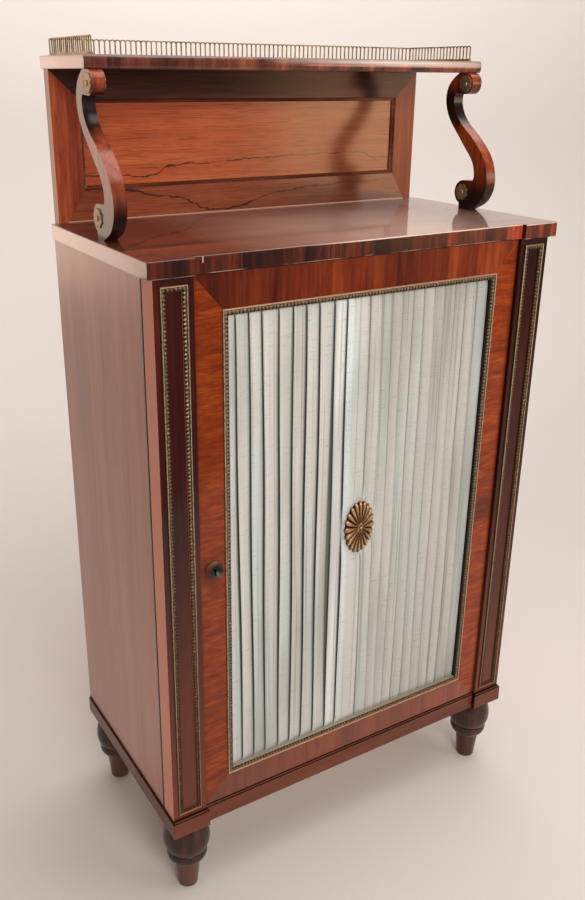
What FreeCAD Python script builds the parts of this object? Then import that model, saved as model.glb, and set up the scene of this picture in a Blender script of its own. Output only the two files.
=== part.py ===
import FreeCAD, Part

import math
import os

# A small Regency chiffonier: a cupboard with one silk-panelled door on turned
# feet, a breakfront top slab, and a low upper stage whose shelf stands on two
# scroll brackets in front of a panelled back and carries a brass gallery.
#
# Millimetres.  +Z up, -Y is the front, X runs along the width.  The origin is
# the middle of the footprint, on the floor.

V = FreeCAD.Vector

# ---------------------------------------------------------------- heights
foot_height = 120.0
plinth_height = 27.5
carcass_height = 753.5      # plinth top to the underside of the slab
slab_thickness = 20.0
alcove_height = 192.3       # slab top to the underside of the upper shelf
shelf_thickness = 15.7
gallery_height = 21.0

# ---------------------------------------------------------------- plan sizes
slab_width = 620.0
overall_depth = 328.0
slab_side_overhang = 8.5
slab_front_overhang = 6.5
break_depth = 7.0           # the end blocks stand forward by this much
slab_edge_round = 1.4

pilaster_width = 50.2
pilaster_depth = 30.0
side_thickness = 18.0
joint_groove_width = 2.6    # quirk between each side and its pilaster
joint_groove_depth = 2.0
back_board_thickness = 9.0
back_board_count = 4
back_board_lap = 7.0
rebate_width = 9.0
bottom_thickness = 16.0
rail_thickness = 18.0
rail_depth = 60.0

plinth_step_side = 2.5      # plinth face outside the carcass face
plinth_step_front = 5.1
plinth_board = 14.0
plinth_front_board = 18.0
plinth_block_extra = 3.0    # plinth block wider than the pilaster above it
plinth_lip = 1.8
plinth_lip_height = 3.0
corner_block = 48.0
bottom_rail_thickness = 18.0
bottom_rail_depth = 40.0

# ---------------------------------------------------------------- feet
foot_inset_x = 39.4         # foot axis in from the slab's end
foot_inset_y = 34.0         # foot axis in from the front and back
foot_bulb_radius = 33.7
foot_neck_radius = 19.0
foot_toe_radius = 14.5
foot_neck_height = 47.0
foot_ring_height = 21.5
foot_ring_radius = 29.3
foot_groove_radius = 27.2
foot_groove_width = 2.6
foot_shoulder_radius = 29.8
foot_crown_radius = 26.0
foot_toe_round = 1.6
spigot_radius = 7.0
spigot_length = 20.0
spigot_clearance = 0.1

# ---------------------------------------------------------------- door
door_recess = 4.5           # door face behind the pilaster face
door_thickness = 20.0
door_side_gap = 1.3
door_end_gap = 1.5
door_stile = 44.2
door_top_rail = 50.8
door_bottom_rail = 46.7
lip_depth = 7.3             # front lip of the frame, ahead of the silk
lip_width = 7.3             # the rebate behind it
silk_thickness = 2.5
soft_clearance = 0.3
pleat_depth = 4.4           # folded edge, ahead of the flat silk
pleat_root = 0.9            # where a fold runs in under its neighbour
pleat_middle_left = -30.7   # edges of the wide middle fold
pleat_middle_right = 2.2
pleats_left_count = 9
pleats_right_count = 11
pressed_pleats = 2.0        # folds under the rosette
backboard_thickness = 7.0
panel_clearance = 0.3

moulding_width = 8.0
moulding_relief = 2.6
moulding_lip = 0.0          # moulding's inner edge past the frame's edge
pilaster_moulding_width = 7.0
pilaster_margin = 7.9
pilaster_end_margin_low = 7.4
pilaster_end_margin_high = 9.4
pilaster_sinking = 1.2

# ---------------------------------------------------------------- door fittings
rosette_half_width = 25.6
rosette_half_height = 40.4
rosette_height_z = 520.6
rosette_petal_count = 22
rosette_plate = 2.4
rosette_relief = 9.4
rosette_petal_relief = 6.8
rosette_boss_share = 0.28
rosette_post_radius = 2.5
rosette_nut_radius = 7.0
rosette_nut_thickness = 2.8
post_clearance = 0.1

key_backset = 20.4
key_height_z = 520.5
keyhole_radius = 2.2
keyhole_slot_width = 2.2
keyhole_slot_length = 7.0
escutcheon_radius = 12.5
escutcheon_relief = 5.5
escutcheon_dish = 3.6
lock_length = 32.0
lock_height = 52.0
lock_thickness = 10.0
lock_rise = 10.0            # lock's middle above the key's axis
bolt_height = 14.0
bolt_thickness = 5.4
bolt_length = 24.0
bolt_rise = 10.0
bolt_throw = 7.0
bolt_clearance = 0.15
bolt_talon = 4.2
key_chamber_radius = 7.0
mortise_clearance = 0.7

pivot_from_edge = 8.0       # pivot axis in from the door's edge
pivot_from_face = 4.0       # and behind its face
pivot_radius = 2.0
pivot_running = 0.05
pivot_rise = 4.5            # pin past the plate it turns in
pivot_collar = 3.4
pivot_plate_length = 42.0
pivot_plate_width = 9.0
pivot_plate_thickness = 2.5
pivot_plate_ahead = 2.8     # plate ahead of the axis
pivot_plate_end = 5.5       # plate past the axis, towards the door's edge
pivot_screw_head = 2.6
pivot_screw_shank = 1.2
pivot_screw_length = 12.0
pivot_screw_count = 2
pivot_screw_near = 11.0     # first screw from the axis
pivot_screw_far = 31.0
screw_clearance = 0.05
door_back_bevel = 3.0

# ---------------------------------------------------------------- inside
inner_shelf_z = 520.0
inner_shelf_thickness = 14.0
inner_shelf_setback = 18.0
inner_shelf_gap = 0.5
bearer_height = 20.0
bearer_width = 12.0
bearer_front_gap = 12.0      # from the shelf's front edge
bearer_back_gap = 14.0
wood_screw_head = 4.2
wood_screw_shank = 2.0
slab_screw_length = 30.0
slab_screw_count = 3
bearer_screw_length = 24.0
bearer_screw_count = 2
bearer_screw_inset = 30.0

# ---------------------------------------------------------------- upper stage
upper_back_thickness = 17.0
upper_back_inset = 11.0     # in from the slab's end
upper_stile = 38.5
upper_top_rail = 36.0
upper_bottom_rail = 41.0    # the part that shows above the slab
upper_panel_setback = 6.0
upper_panel_thickness = 7.0
upper_rebate = 6.0
upper_bead = 5.0
shelf_inset_side = 7.2
shelf_front_setback = 169.6  # from the slab's front to the shelf's front
shelf_nose = 2.4             # swell of the front edge at its middle
shelf_arris = 1.2
bracket_inset = 12.0
bracket_thickness = 17.0
bracket_depth = 100.5
bracket_front_setback = 115.5
scroll_rosette_radius = 12.0
scroll_rosette_relief = 2.6
dowel_radius = 3.0
dowel_half_length = 9.0
dowel_clearance = 0.1
gallery_inset_side = 11.2
gallery_inset_back = 7.4
gallery_inset_front = 10.2
gallery_pitch = 7.35
gallery_spindle = 1.5
gallery_plate = 1.4
gallery_rail_width = 5.2
gallery_rail_height = 3.2
gallery_top_wire = 1.3
gallery_arch_rise = 2.2
gallery_scallop = 0.9

# ---------------------------------------------------------------- levels
z_plinth = foot_height
z_carcass = z_plinth + plinth_height
z_slab = z_carcass + carcass_height
z_slab_top = z_slab + slab_thickness
z_shelf = z_slab_top + alcove_height
z_shelf_top = z_shelf + shelf_thickness
z_top = z_shelf_top + gallery_height

y_front = -overall_depth / 2
y_back = overall_depth / 2
y_pilaster = y_front + slab_front_overhang
y_door = y_pilaster + door_recess
y_door_back = y_door + door_thickness
y_inside = y_pilaster + pilaster_depth
y_boards = y_back - back_board_thickness
y_upper = y_back - upper_back_thickness

x_slab = slab_width / 2
x_carcass = x_slab - slab_side_overhang
x_pilaster = x_carcass - pilaster_width
x_inner = x_carcass - side_thickness
x_door = x_pilaster - door_side_gap

z_door = z_carcass + door_end_gap
z_door_top = z_slab - door_end_gap
x_opening = x_door - door_stile
z_opening = z_door + door_bottom_rail
z_opening_top = z_door_top - door_top_rail
y_lip = y_door + lip_depth
y_silk = y_lip + soft_clearance
y_rosette = y_silk - pressed_pleats - soft_clearance

x_pivot = x_door - pivot_from_edge
y_pivot = y_door + pivot_from_face

x_key = -x_door + key_backset
z_bolt = key_height_z + bolt_rise
y_bolt = y_door_back - lock_thickness / 2


# ---------------------------------------------------------------- helpers
def box(x0, x1, y0, y1, z0, z1):
    return Part.makeBox(x1 - x0, y1 - y0, z1 - z0, V(x0, y0, z0))


def face_of(points):
    return Part.Face(Part.makePolygon(points + points[:1]))


def prism_xy(outline, z0, z1):
    return face_of([V(x, y, z0) for x, y in outline]).extrude(V(0, 0, z1 - z0))


def prism_xz(outline, y0, y1):
    return face_of([V(x, y0, z) for x, z in outline]).extrude(V(0, y1 - y0, 0))


def rod(radius, start, end):
    along = end - start
    return Part.makeCylinder(radius, along.Length, start, along)


def spline(points):
    curve = Part.BSplineCurve()
    curve.interpolate(points)
    return curve.toShape()


def mirrored(shape):
    return shape.mirror(V(0, 0, 0), V(1, 0, 0))


def bar_between(start, end):
    """A straight bar whose two end faces are the given outlines."""
    faces = [face_of(start), face_of(end)]
    for i in range(len(start)):
        j = (i + 1) % len(start)
        faces.append(face_of([start[i], start[j], end[j], end[i]]))
    solid = Part.makeSolid(Part.makeShell(faces))
    if solid.Volume < 0:
        solid.reverse()
    return solid


def mitred_frame(outer, inner, y0, y1):
    """Left, right, bottom and top bars of a flat frame, mitred at the corners."""
    a0, a1, c0, c1 = outer
    b0, b1, d0, d1 = inner
    left = prism_xz([(a0, c0), (b0, d0), (b0, d1), (a0, c1)], y0, y1)
    right = prism_xz([(a1, c0), (b1, d0), (b1, d1), (a1, c1)], y0, y1)
    bottom = prism_xz([(a0, c0), (a1, c0), (b1, d0), (b0, d0)], y0, y1)
    top = prism_xz([(a0, c1), (a1, c1), (b1, d1), (b0, d1)], y0, y1)
    return left, right, bottom, top


def mitred_strips(outer, y_face, section):
    """Four mitred strips laid on a face; section is (inward, proud) points."""
    x0, x1, z0, z1 = outer
    corners = [(x0, z0, 1, 1), (x1, z0, -1, 1), (x1, z1, -1, -1), (x0, z1, 1, -1)]
    ends = []
    for x, z, to_x, to_z in corners:
        ends.append([V(x + to_x * u, y_face - h, z + to_z * u) for u, h in section])
    return Part.makeCompound([bar_between(ends[i], ends[(i + 1) % 4]) for i in range(4)])


def screw(seat, direction, head, shank, length, grow=0.0):
    """A countersunk screw, its head flush with seat; grow makes its hole."""
    head_depth = head - shank
    tip = seat + direction * (length + grow)
    cone = Part.makeCone(head + grow, shank + grow, head_depth, seat, direction)
    return cone.fuse(rod(shank + grow, seat, tip)).removeSplitter()


def spaced(low, high, count):
    """Count places, evenly spread from low to high."""
    if count == 1:
        return [(low + high) / 2]
    return [low + (high - low) * i / (count - 1) for i in range(count)]


def joined(solids):
    return solids[0].multiFuse(solids[1:]).removeSplitter()


def save(name, shape):
    solids = shape.Solids
    if not shape.isValid() or min(s.Volume for s in solids) <= 0:
        print("check", name)
    shape.exportStep("parts/" + name + ".step")
    print(name, len(solids), round(shape.Volume))


# ---------------------------------------------------------------- feet and plinth
def foot_places():
    x = x_slab - foot_inset_x
    y = overall_depth / 2 - foot_inset_y
    return {"front_left": (-x, -y), "front_right": (x, -y),
            "back_left": (-x, y), "back_right": (x, y)}


def turned_foot(x, y):
    """A tapered toe, a ring, a groove and a bulb, with a spigot on top."""
    ring_top = foot_neck_height + foot_ring_height
    bulb_root = ring_top + foot_groove_width
    bulb_height = foot_height - bulb_root
    spigot_top = foot_height + spigot_length
    toe_flat = V(foot_toe_radius - foot_toe_round, 0, 0)
    toe = V(foot_toe_radius, 0, foot_toe_round)
    neck = V(foot_neck_radius, 0, foot_neck_height)
    ring_low = V((foot_neck_radius * 2 + foot_ring_radius) / 3, 0, foot_neck_height + foot_ring_height * 0.1)
    ring_bulge = V(foot_ring_radius, 0, foot_neck_height + foot_ring_height * 0.6)
    ring_high = V((foot_ring_radius + foot_groove_radius) / 2, 0, ring_top)
    groove = V(foot_groove_radius, 0, ring_top + foot_groove_width * 0.4)
    bulb_low = V(foot_shoulder_radius, 0, bulb_root)
    bulb_wide = V(foot_bulb_radius, 0, bulb_root + bulb_height * 0.31)
    bulb_waist = V((foot_bulb_radius + foot_crown_radius) / 2 + 0.03 * bulb_height, 0,
                   bulb_root + bulb_height * 0.68)
    bulb_high = V(foot_crown_radius, 0, foot_height)
    spigot_low = V(spigot_radius, 0, foot_height)
    spigot_high = V(spigot_radius, 0, spigot_top)
    edges = [
        Part.makeLine(V(0, 0, 0), toe_flat),
        Part.makeLine(toe_flat, toe),
        Part.makeLine(toe, neck),
        Part.makeLine(neck, ring_low),
        Part.Arc(ring_low, ring_bulge, ring_high).toShape(),
        Part.makeLine(ring_high, groove),
        Part.makeLine(groove, bulb_low),
        spline([bulb_low, bulb_wide, bulb_waist, bulb_high]),
        Part.makeLine(bulb_high, spigot_low),
        Part.makeLine(spigot_low, spigot_high),
        Part.makeLine(spigot_high, V(0, 0, spigot_top)),
        Part.makeLine(V(0, 0, spigot_top), V(0, 0, 0)),
    ]
    foot = Part.Face(Part.Wire(edges)).revolve(V(0, 0, 0), V(0, 0, 1), 360)
    foot.translate(V(x, y, 0))
    return foot


def plinth_inside():
    """X and Y of the inner faces of the plinth's side and front boards."""
    x_in = x_carcass + plinth_step_side - plinth_board
    y_in = y_pilaster - plinth_step_front + break_depth + plinth_front_board
    return x_in, y_in


def plinth_outline(inset):
    """Plan places of the plinth's outer faces, drawn in by inset."""
    x_out = x_carcass + plinth_step_side - inset
    y_block = y_pilaster - plinth_step_front + inset
    y_middle = y_block + break_depth
    return x_out, y_block, y_middle


def plinth_boards(inset, z0, z1):
    x_out, y_block, y_middle = plinth_outline(inset)
    x_in, y_in = plinth_inside()
    x_block = x_pilaster - plinth_block_extra + inset
    y_rear_in = y_back - plinth_board
    front = [(-x_out, y_block), (-x_block, y_block), (-x_block, y_middle),
             (x_block, y_middle), (x_block, y_block), (x_out, y_block),
             (x_in, y_in), (-x_in, y_in)]
    side = [(-x_out, y_block), (-x_in, y_in), (-x_in, y_rear_in), (-x_out, y_back)]
    rear = [(-x_out, y_back), (-x_in, y_rear_in), (x_in, y_rear_in), (x_out, y_back)]
    return [prism_xy(outline, z0, z1) for outline in (front, side, rear)]


def make_plinth():
    z_lip = z_carcass - plinth_lip_height
    lower = plinth_boards(0.0, z_plinth, z_lip)
    upper = plinth_boards(plinth_lip, z_lip, z_carcass)
    front, side, rear = [a.fuse(b).removeSplitter() for a, b in zip(lower, upper)]
    return front, side, rear


def make_corner_blocks():
    x_in, y_in = plinth_inside()
    y_rear_in = y_back - plinth_board
    blocks = []
    for x, y in foot_places().values():
        x0, x1 = (-x_in, -x_in + corner_block) if x < 0 else (x_in - corner_block, x_in)
        y0, y1 = (y_in, y_in + corner_block) if y < 0 else (y_rear_in - corner_block, y_rear_in)
        block = box(x0, x1, y0, y1, z_plinth, z_carcass)
        hole_top = z_plinth + spigot_length + spigot_clearance
        hole = rod(spigot_radius + spigot_clearance, V(x, y, z_plinth), V(x, y, hole_top))
        blocks.append(block.cut(hole))
    return Part.makeCompound(blocks)


def make_bottom_rail():
    """Rail behind the plinth's front board, closing the carcass under the door."""
    x_in, y_in = plinth_inside()
    x = x_in - corner_block
    return box(-x, x, y_in, y_in + bottom_rail_depth, z_carcass - bottom_rail_thickness, z_carcass)


# ---------------------------------------------------------------- carcass
def make_side():
    """Left side panel, rebated at the back for the back boards, with a quirk
    down its outer front edge."""
    panel = box(-x_carcass, -x_inner, y_inside, y_back, z_carcass, z_slab)
    rebate = box(-x_inner - rebate_width, -x_inner, y_boards, y_back, z_carcass, z_slab)
    quirk = box(-x_carcass, -x_carcass + joint_groove_depth, y_inside,
                y_inside + joint_groove_width, z_carcass, z_slab)
    return panel.cut(rebate).cut(quirk)


def bearer_screw_places():
    y0, y1 = bearer_span()
    return spaced(y0 + bearer_screw_inset, y1 - bearer_screw_inset, bearer_screw_count)


def bearer_span():
    """Low and high Y of the shelf bearers."""
    return y_inside + inner_shelf_setback + bearer_front_gap, y_boards - bearer_back_gap


def bearer_screws(side, grow=0.0):
    z = inner_shelf_z - bearer_height / 2
    seat_x = side * (x_inner - bearer_width)
    return [screw(V(seat_x, y, z), V(side, 0, 0), wood_screw_head, wood_screw_shank,
                  bearer_screw_length, grow) for y in bearer_screw_places()]


def make_bearer():
    """Left shelf bearer."""
    y0, y1 = bearer_span()
    bar = box(-x_inner, -x_inner + bearer_width, y0, y1, inner_shelf_z - bearer_height, inner_shelf_z)
    return bar.cut(Part.makeCompound(bearer_screws(-1, screw_clearance)))


def make_pilaster():
    """Left pilaster: a post with a sunk panel on its face."""
    post = box(-x_carcass, -x_pilaster, y_pilaster, y_inside, z_carcass, z_slab)
    x0, x1, z0, z1 = pilaster_panel(pilaster_moulding_width)
    sinking = box(x0, x1, y_pilaster, y_pilaster + pilaster_sinking, z0, z1)
    return post.cut(sinking)


def pilaster_panel(inset):
    """Rectangle on the left pilaster's face, inset from its moulding's outside."""
    return (-x_carcass + pilaster_margin + inset, -x_pilaster - pilaster_margin - inset,
            z_carcass + pilaster_end_margin_low + inset, z_slab - pilaster_end_margin_high - inset)


def moulding_section(width):
    """Cast strip: a raised outer fillet, then a slope down to the inner edge."""
    relief = moulding_relief
    return [(0.0, 0.0), (0.0, relief * 0.75), (width * 0.08, relief), (width * 0.26, relief),
            (width * 0.34, relief * 0.62), (width * 0.92, relief * 0.3), (width, 0.0)]


def make_back_boards():
    """Vertical boards with half-lap edges, in the rebates of the sides."""
    x0 = -x_inner - rebate_width
    pitch = -2 * x0 / back_board_count
    middle = y_boards + back_board_thickness / 2
    boards = []
    for i in range(back_board_count):
        left = x0 + i * pitch
        right = left + pitch
        outline = [(left, y_boards), (right, y_boards)]
        if i < back_board_count - 1:
            outline += [(right, middle), (right + back_board_lap, middle), (right + back_board_lap, y_back)]
        else:
            outline += [(right, y_back)]
        if i > 0:
            outline += [(left + back_board_lap, y_back), (left + back_board_lap, middle), (left, middle)]
        else:
            outline += [(left, y_back)]
        boards.append(prism_xy(outline, z_carcass, z_slab))
    return Part.makeCompound(boards)


def slab_screws(y_low, grow=0.0):
    """Screws up through a top rail into the slab."""
    places = spaced(-x_inner * 0.75, x_inner * 0.75, slab_screw_count)
    y = y_low + rail_depth / 2
    seat_z = z_slab - rail_thickness
    return [screw(V(x, y, seat_z), V(0, 0, 1), wood_screw_head, wood_screw_shank,
                  slab_screw_length, grow) for x in places]


def make_top_rail(y_low):
    rail = box(-x_inner, x_inner, y_low, y_low + rail_depth, z_slab - rail_thickness, z_slab)
    return rail.cut(Part.makeCompound(slab_screws(y_low, screw_clearance)))


def make_slab():
    """Breakfront slab: its ends stand forward over the pilasters."""
    y_middle = y_front + break_depth
    outline = [(-x_slab, y_front), (-x_pilaster, y_front), (-x_pilaster, y_middle),
               (x_pilaster, y_middle), (x_pilaster, y_front), (x_slab, y_front),
               (x_slab, y_upper), (-x_slab, y_upper)]
    slab = prism_xy(outline, z_slab, z_slab_top)
    exposed = [e for e in slab.Edges
               if min(v.Z for v in e.Vertexes) > z_slab_top - 1
               and min(v.Y for v in e.Vertexes) < y_upper - 1]
    return slab.makeFillet(slab_edge_round, exposed)


# ---------------------------------------------------------------- door
def door_rectangles():
    outer = (-x_door, x_door, z_door, z_door_top)
    opening = (-x_opening, x_opening, z_opening, z_opening_top)
    return outer, opening


def grown(rectangle, by):
    x0, x1, z0, z1 = rectangle
    return (x0 - by, x1 + by, z0 - by, z1 + by)


def slab_of(rectangle, y0, y1):
    x0, x1, z0, z1 = rectangle
    return box(x0, x1, y0, y1, z0, z1)


def back_bevel():
    """Eases the back edge of the hinge stile so that it clears as it turns."""
    corner = [(x_door - door_back_bevel, y_door_back), (x_door, y_door_back),
              (x_door, y_door_back - door_back_bevel)]
    return prism_xy(corner, z_door, z_door_top)


def keyhole(y0, y1):
    """Round hole with a slot below it, along Y."""
    round_part = rod(keyhole_radius, V(x_key, y0, key_height_z), V(x_key, y1, key_height_z))
    half = keyhole_slot_width / 2
    slot = box(x_key - half, x_key + half, y0, y1, key_height_z - keyhole_slot_length, key_height_z)
    return round_part.fuse(slot)


def lock_box(grow=0.0):
    z_middle = key_height_z + lock_rise
    return box(-x_door, -x_door + lock_length + grow, y_door_back - lock_thickness, y_door_back,
               z_middle - lock_height / 2 - grow, z_middle + lock_height / 2 + grow)


def make_lock_case():
    """Cut-in lock: a channel for the bolt and a round chamber for the key."""
    half_z = bolt_height / 2 + bolt_clearance
    half_y = bolt_thickness / 2 + bolt_clearance
    channel = box(-x_door, -x_door + bolt_length + bolt_clearance,
                  y_bolt - half_y, y_bolt + half_y, z_bolt - half_z, z_bolt + half_z)
    chamber = rod(key_chamber_radius, V(x_key, y_bolt - half_y, key_height_z),
                  V(x_key, y_bolt + half_y, key_height_z))
    entry = keyhole(y_door_back - lock_thickness, y_bolt)
    return lock_box().cut(joined([channel, chamber, entry]))


def make_bolt():
    """Bolt with a talon notch under it for the key."""
    half_z = bolt_height / 2
    half_y = bolt_thickness / 2
    bolt = box(-x_door, -x_door + bolt_length, y_bolt - half_y, y_bolt + half_y,
               z_bolt - half_z, z_bolt + half_z)
    talon = rod(bolt_talon, V(x_key, y_bolt - half_y, z_bolt - half_z),
                V(x_key, y_bolt + half_y, z_bolt - half_z))
    return bolt.cut(talon)


def bolt_mortise():
    half_z = bolt_height / 2 + mortise_clearance
    half_y = bolt_thickness / 2 + mortise_clearance
    depth = bolt_throw - door_side_gap + mortise_clearance
    return box(-x_pilaster - depth, -x_pilaster, y_bolt - half_y, y_bolt + half_y,
               z_bolt - half_z, z_bolt + half_z)


def make_escutcheon():
    """Turned ring with a dished face round the keyhole."""
    rim = escutcheon_radius
    top = escutcheon_relief
    floor = top - escutcheon_dish
    inner = rim * 0.64
    profile = [V(0, 0, 0), V(rim, 0, 0), V(rim, 0, top * 0.3), V(rim * 0.95, 0, top * 0.62),
               V(rim * 0.84, 0, top * 0.94), V(rim * 0.76, 0, top), V(inner, 0, top * 0.86),
               V(inner * 0.82, 0, (top + floor) * 0.5), V(inner * 0.5, 0, floor + 0.3), V(0, 0, floor)]
    ring = face_of(profile).revolve(V(0, 0, 0), V(0, 0, 1), 360)
    ring.rotate(V(0, 0, 0), V(1, 0, 0), 90)
    ring.translate(V(x_key, y_door, key_height_z))
    return ring.cut(keyhole(y_door - top, y_door))


def rosette_height(share, ridge):
    """How far the oval patera stands off its seat, at a share of its radius;
    ridge runs from 0 between two petals to 1 along a petal's middle."""
    if share < rosette_boss_share:
        dome = math.sqrt(1 - (share / rosette_boss_share) ** 2)
        return rosette_relief * (0.7 + 0.3 * dome)
    along = (share - rosette_boss_share) / (1 - rosette_boss_share)
    swell = 0.75
    if along < swell:
        crest = 0.5 + 0.5 * along / swell
    else:
        crest = math.sqrt(1 - ((along - swell) / (1 - swell)) ** 2)
    return rosette_plate + (rosette_petal_relief - rosette_plate) * crest * ridge


def make_door_rosette():
    """Oval patera: rows of points on petals and a domed boss, closed behind,
    with a post to hold it through the silk."""
    steps = 4
    columns = rosette_petal_count * steps
    ridges = [0.0, 0.8, 1.0, 0.8]
    shares = [0.0, 0.5 * rosette_boss_share, 0.98 * rosette_boss_share, 1.06 * rosette_boss_share,
              0.5, 0.66, 0.8, 0.9]

    def point(share, column, height):
        turn = 2 * math.pi * column / columns
        return V(rosette_half_width * share * math.cos(turn), y_rosette - height,
                 rosette_height_z + rosette_half_height * share * math.sin(turn))

    rows = []
    for share in shares[1:]:
        rows.append([point(share, c, rosette_height(share, ridges[c % steps])) for c in range(columns)])
    reach = [0.94 + 0.06 * ridges[c % steps] for c in range(columns)]
    rows.append([point(reach[c], c, rosette_plate) for c in range(columns)])
    rows.append([point(reach[c], c, 0.0) for c in range(columns)])
    crown = V(0, y_rosette - rosette_relief, rosette_height_z)
    back = V(0, y_rosette, rosette_height_z)
    faces = []
    for c in range(columns):
        d = (c + 1) % columns
        faces.append(face_of([crown, rows[0][c], rows[0][d]]))
        faces.append(face_of([back, rows[-1][d], rows[-1][c]]))
        for inner, outer in zip(rows, rows[1:]):
            faces.append(face_of([inner[c], outer[c], outer[d]]))
            faces.append(face_of([inner[c], outer[d], inner[d]]))
    patera = Part.makeSolid(Part.makeShell(faces))
    if patera.Volume < 0:
        patera.reverse()
    post = rod(rosette_post_radius, V(0, y_rosette - rosette_plate, rosette_height_z),
               V(0, y_door_back, rosette_height_z))
    return patera.fuse(post)


def make_rosette_nut():
    y0 = y_silk + silk_thickness + soft_clearance + backboard_thickness
    start = V(0, y0, rosette_height_z)
    end = V(0, y0 + rosette_nut_thickness, rosette_height_z)
    return rod(rosette_nut_radius, start, end).cut(rod(rosette_post_radius + post_clearance, start, end))


def rosette_well():
    """Oval pressed into the folds, a little larger than the rosette."""
    center = V(0, y_silk - pleat_depth, rosette_height_z)
    well = rod(1.0, V(0, 0, 0), V(0, 0, 1))
    stretch = FreeCAD.Matrix()
    stretch.scale(rosette_half_width + soft_clearance, rosette_half_height + soft_clearance,
                  pleat_depth - pressed_pleats)
    well = well.transformGeometry(stretch)
    well.rotate(V(0, 0, 0), V(1, 0, 0), -90)
    well.translate(center)
    return well


def make_silk(held, opening):
    """Silk in knife pleats: its folded edges look left on the left of the
    wide middle fold and right on the right of it."""
    x0, x1, z0, z1 = grown(opening, -soft_clearance)
    y_fold = y_silk - pleat_depth
    y_root = y_silk - pleat_root
    outline = [(x0, y_silk)]
    lefts = spaced(x0, pleat_middle_left, pleats_left_count + 1)
    for edge, foot in zip(lefts, lefts[1:]):
        outline += [(edge, y_fold), (foot, y_root)]
    outline += [(pleat_middle_left, y_fold), (pleat_middle_right, y_fold)]
    rights = spaced(pleat_middle_right, x1, pleats_right_count + 1)
    for foot, edge in zip(rights, rights[1:]):
        outline += [(foot, y_root), (edge, y_fold)]
    outline.append((x1, y_silk))
    flat = slab_of(held, y_silk, y_silk + silk_thickness)
    return joined([prism_xy(outline, z0, z1), flat]).cut(rosette_well())


def make_door():
    outer, opening = door_rectangles()
    rebate_rectangle = grown(opening, lip_width)
    rebate = slab_of(rebate_rectangle, y_lip, y_door_back)
    cuts = Part.makeCompound([rebate, back_bevel(), pivot_cuts("door")])
    left, right, bottom, top = [bar.cut(cuts) for bar in
                                mitred_frame(outer, opening, y_door, y_door_back)]
    left = left.cut(lock_box()).cut(keyhole(y_door, y_door_back))
    save("door_stile_left", left)
    save("door_stile_right", right)
    save("door_rail_bottom", bottom)
    save("door_rail_top", top)

    moulding = mitred_strips(grown(opening, moulding_width - moulding_lip), y_door,
                             moulding_section(moulding_width))
    save("door_moulding", moulding)

    y_board = y_silk + silk_thickness + soft_clearance
    y_fillet = y_board + backboard_thickness
    held = grown(rebate_rectangle, -panel_clearance)
    post = rod(rosette_post_radius + post_clearance, V(0, y_rosette, rosette_height_z),
               V(0, y_door_back, rosette_height_z))
    save("door_silk", make_silk(held, opening).cut(post))
    save("door_backboard", slab_of(held, y_board, y_fillet).cut(post))
    save("door_fillets", Part.makeCompound(mitred_frame(rebate_rectangle, opening, y_fillet, y_door_back)))
    save("door_rosette", make_door_rosette())
    save("rosette_nut", make_rosette_nut())
    save("lock_case", make_lock_case())
    save("lock_bolt", make_bolt())
    save("keyhole_escutcheon", make_escutcheon())


# ---------------------------------------------------------------- pivots
# Two pin pivots carry the door, one at the foot and one at the head of its
# right stile.  The lower pin stands on the plinth, the upper one on the door.
def pivot_plate(z_face, into):
    """Plate let into a face; into is +1 when the wood lies above the face."""
    z0, z1 = sorted((z_face, z_face + into * pivot_plate_thickness))
    x1 = x_pivot + pivot_plate_end
    y0 = y_pivot - pivot_plate_ahead
    return box(x1 - pivot_plate_length, x1, y0, y0 + pivot_plate_width, z0, z1)


def pivot_screws(z_face, into, grow=0.0):
    y = y_pivot - pivot_plate_ahead + pivot_plate_width / 2
    places = spaced(x_pivot - pivot_screw_far, x_pivot - pivot_screw_near, pivot_screw_count)
    return [screw(V(x, y, z_face), V(0, 0, into), pivot_screw_head, pivot_screw_shank,
                  pivot_screw_length, grow) for x in places]


def pivot_pin(radius, z0, z1):
    return rod(radius, V(x_pivot, y_pivot, z0), V(x_pivot, y_pivot, z1))


def pivot_faces():
    """Face level and which way its wood lies, for each pair of plates."""
    return {"frame": [(z_carcass, -1), (z_slab, 1)], "door": [(z_door, 1), (z_door_top, -1)]}


def pinned_plate(z_face, into, z_across):
    plate = pivot_plate(z_face, into)
    way = -into
    collar = pivot_pin(pivot_collar, z_face, z_across)
    pin = pivot_pin(pivot_radius, z_across, z_across + way * (pivot_plate_thickness + pivot_rise))
    return joined([plate, collar, pin]).cut(Part.makeCompound(pivot_screws(z_face, into, screw_clearance)))


def holed_plate(z_face, into):
    plate = pivot_plate(z_face, into)
    hole = pivot_pin(pivot_radius + pivot_running, z_face, z_face + into * pivot_plate_thickness)
    return plate.cut(hole).cut(Part.makeCompound(pivot_screws(z_face, into, screw_clearance)))


def pivot_cuts(owner):
    """What the frame's or the door's wood loses to the plates, pins and screws."""
    cuts = []
    for z_face, into in pivot_faces()[owner]:
        cuts.append(pivot_plate(z_face, into))
        cuts += pivot_screws(z_face, into, screw_clearance)
        if into > 0:
            end = z_face + into * (pivot_plate_thickness + pivot_rise + 1.0)
            cuts.append(pivot_pin(pivot_radius + 4 * pivot_running, z_face, end))
    return Part.makeCompound(cuts)


def make_pivots():
    save("pivot_lower_pin_plate", pinned_plate(z_carcass, -1, z_door))
    save("pivot_lower_socket_plate", holed_plate(z_door, 1))
    save("pivot_upper_pin_plate", pinned_plate(z_door_top, -1, z_slab))
    save("pivot_upper_socket_plate", holed_plate(z_slab, 1))
    for owner, faces in pivot_faces().items():
        screws = []
        for z_face, into in faces:
            screws += pivot_screws(z_face, into)
        save("pivot_" + owner + "_screws", Part.makeCompound(screws))


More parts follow.
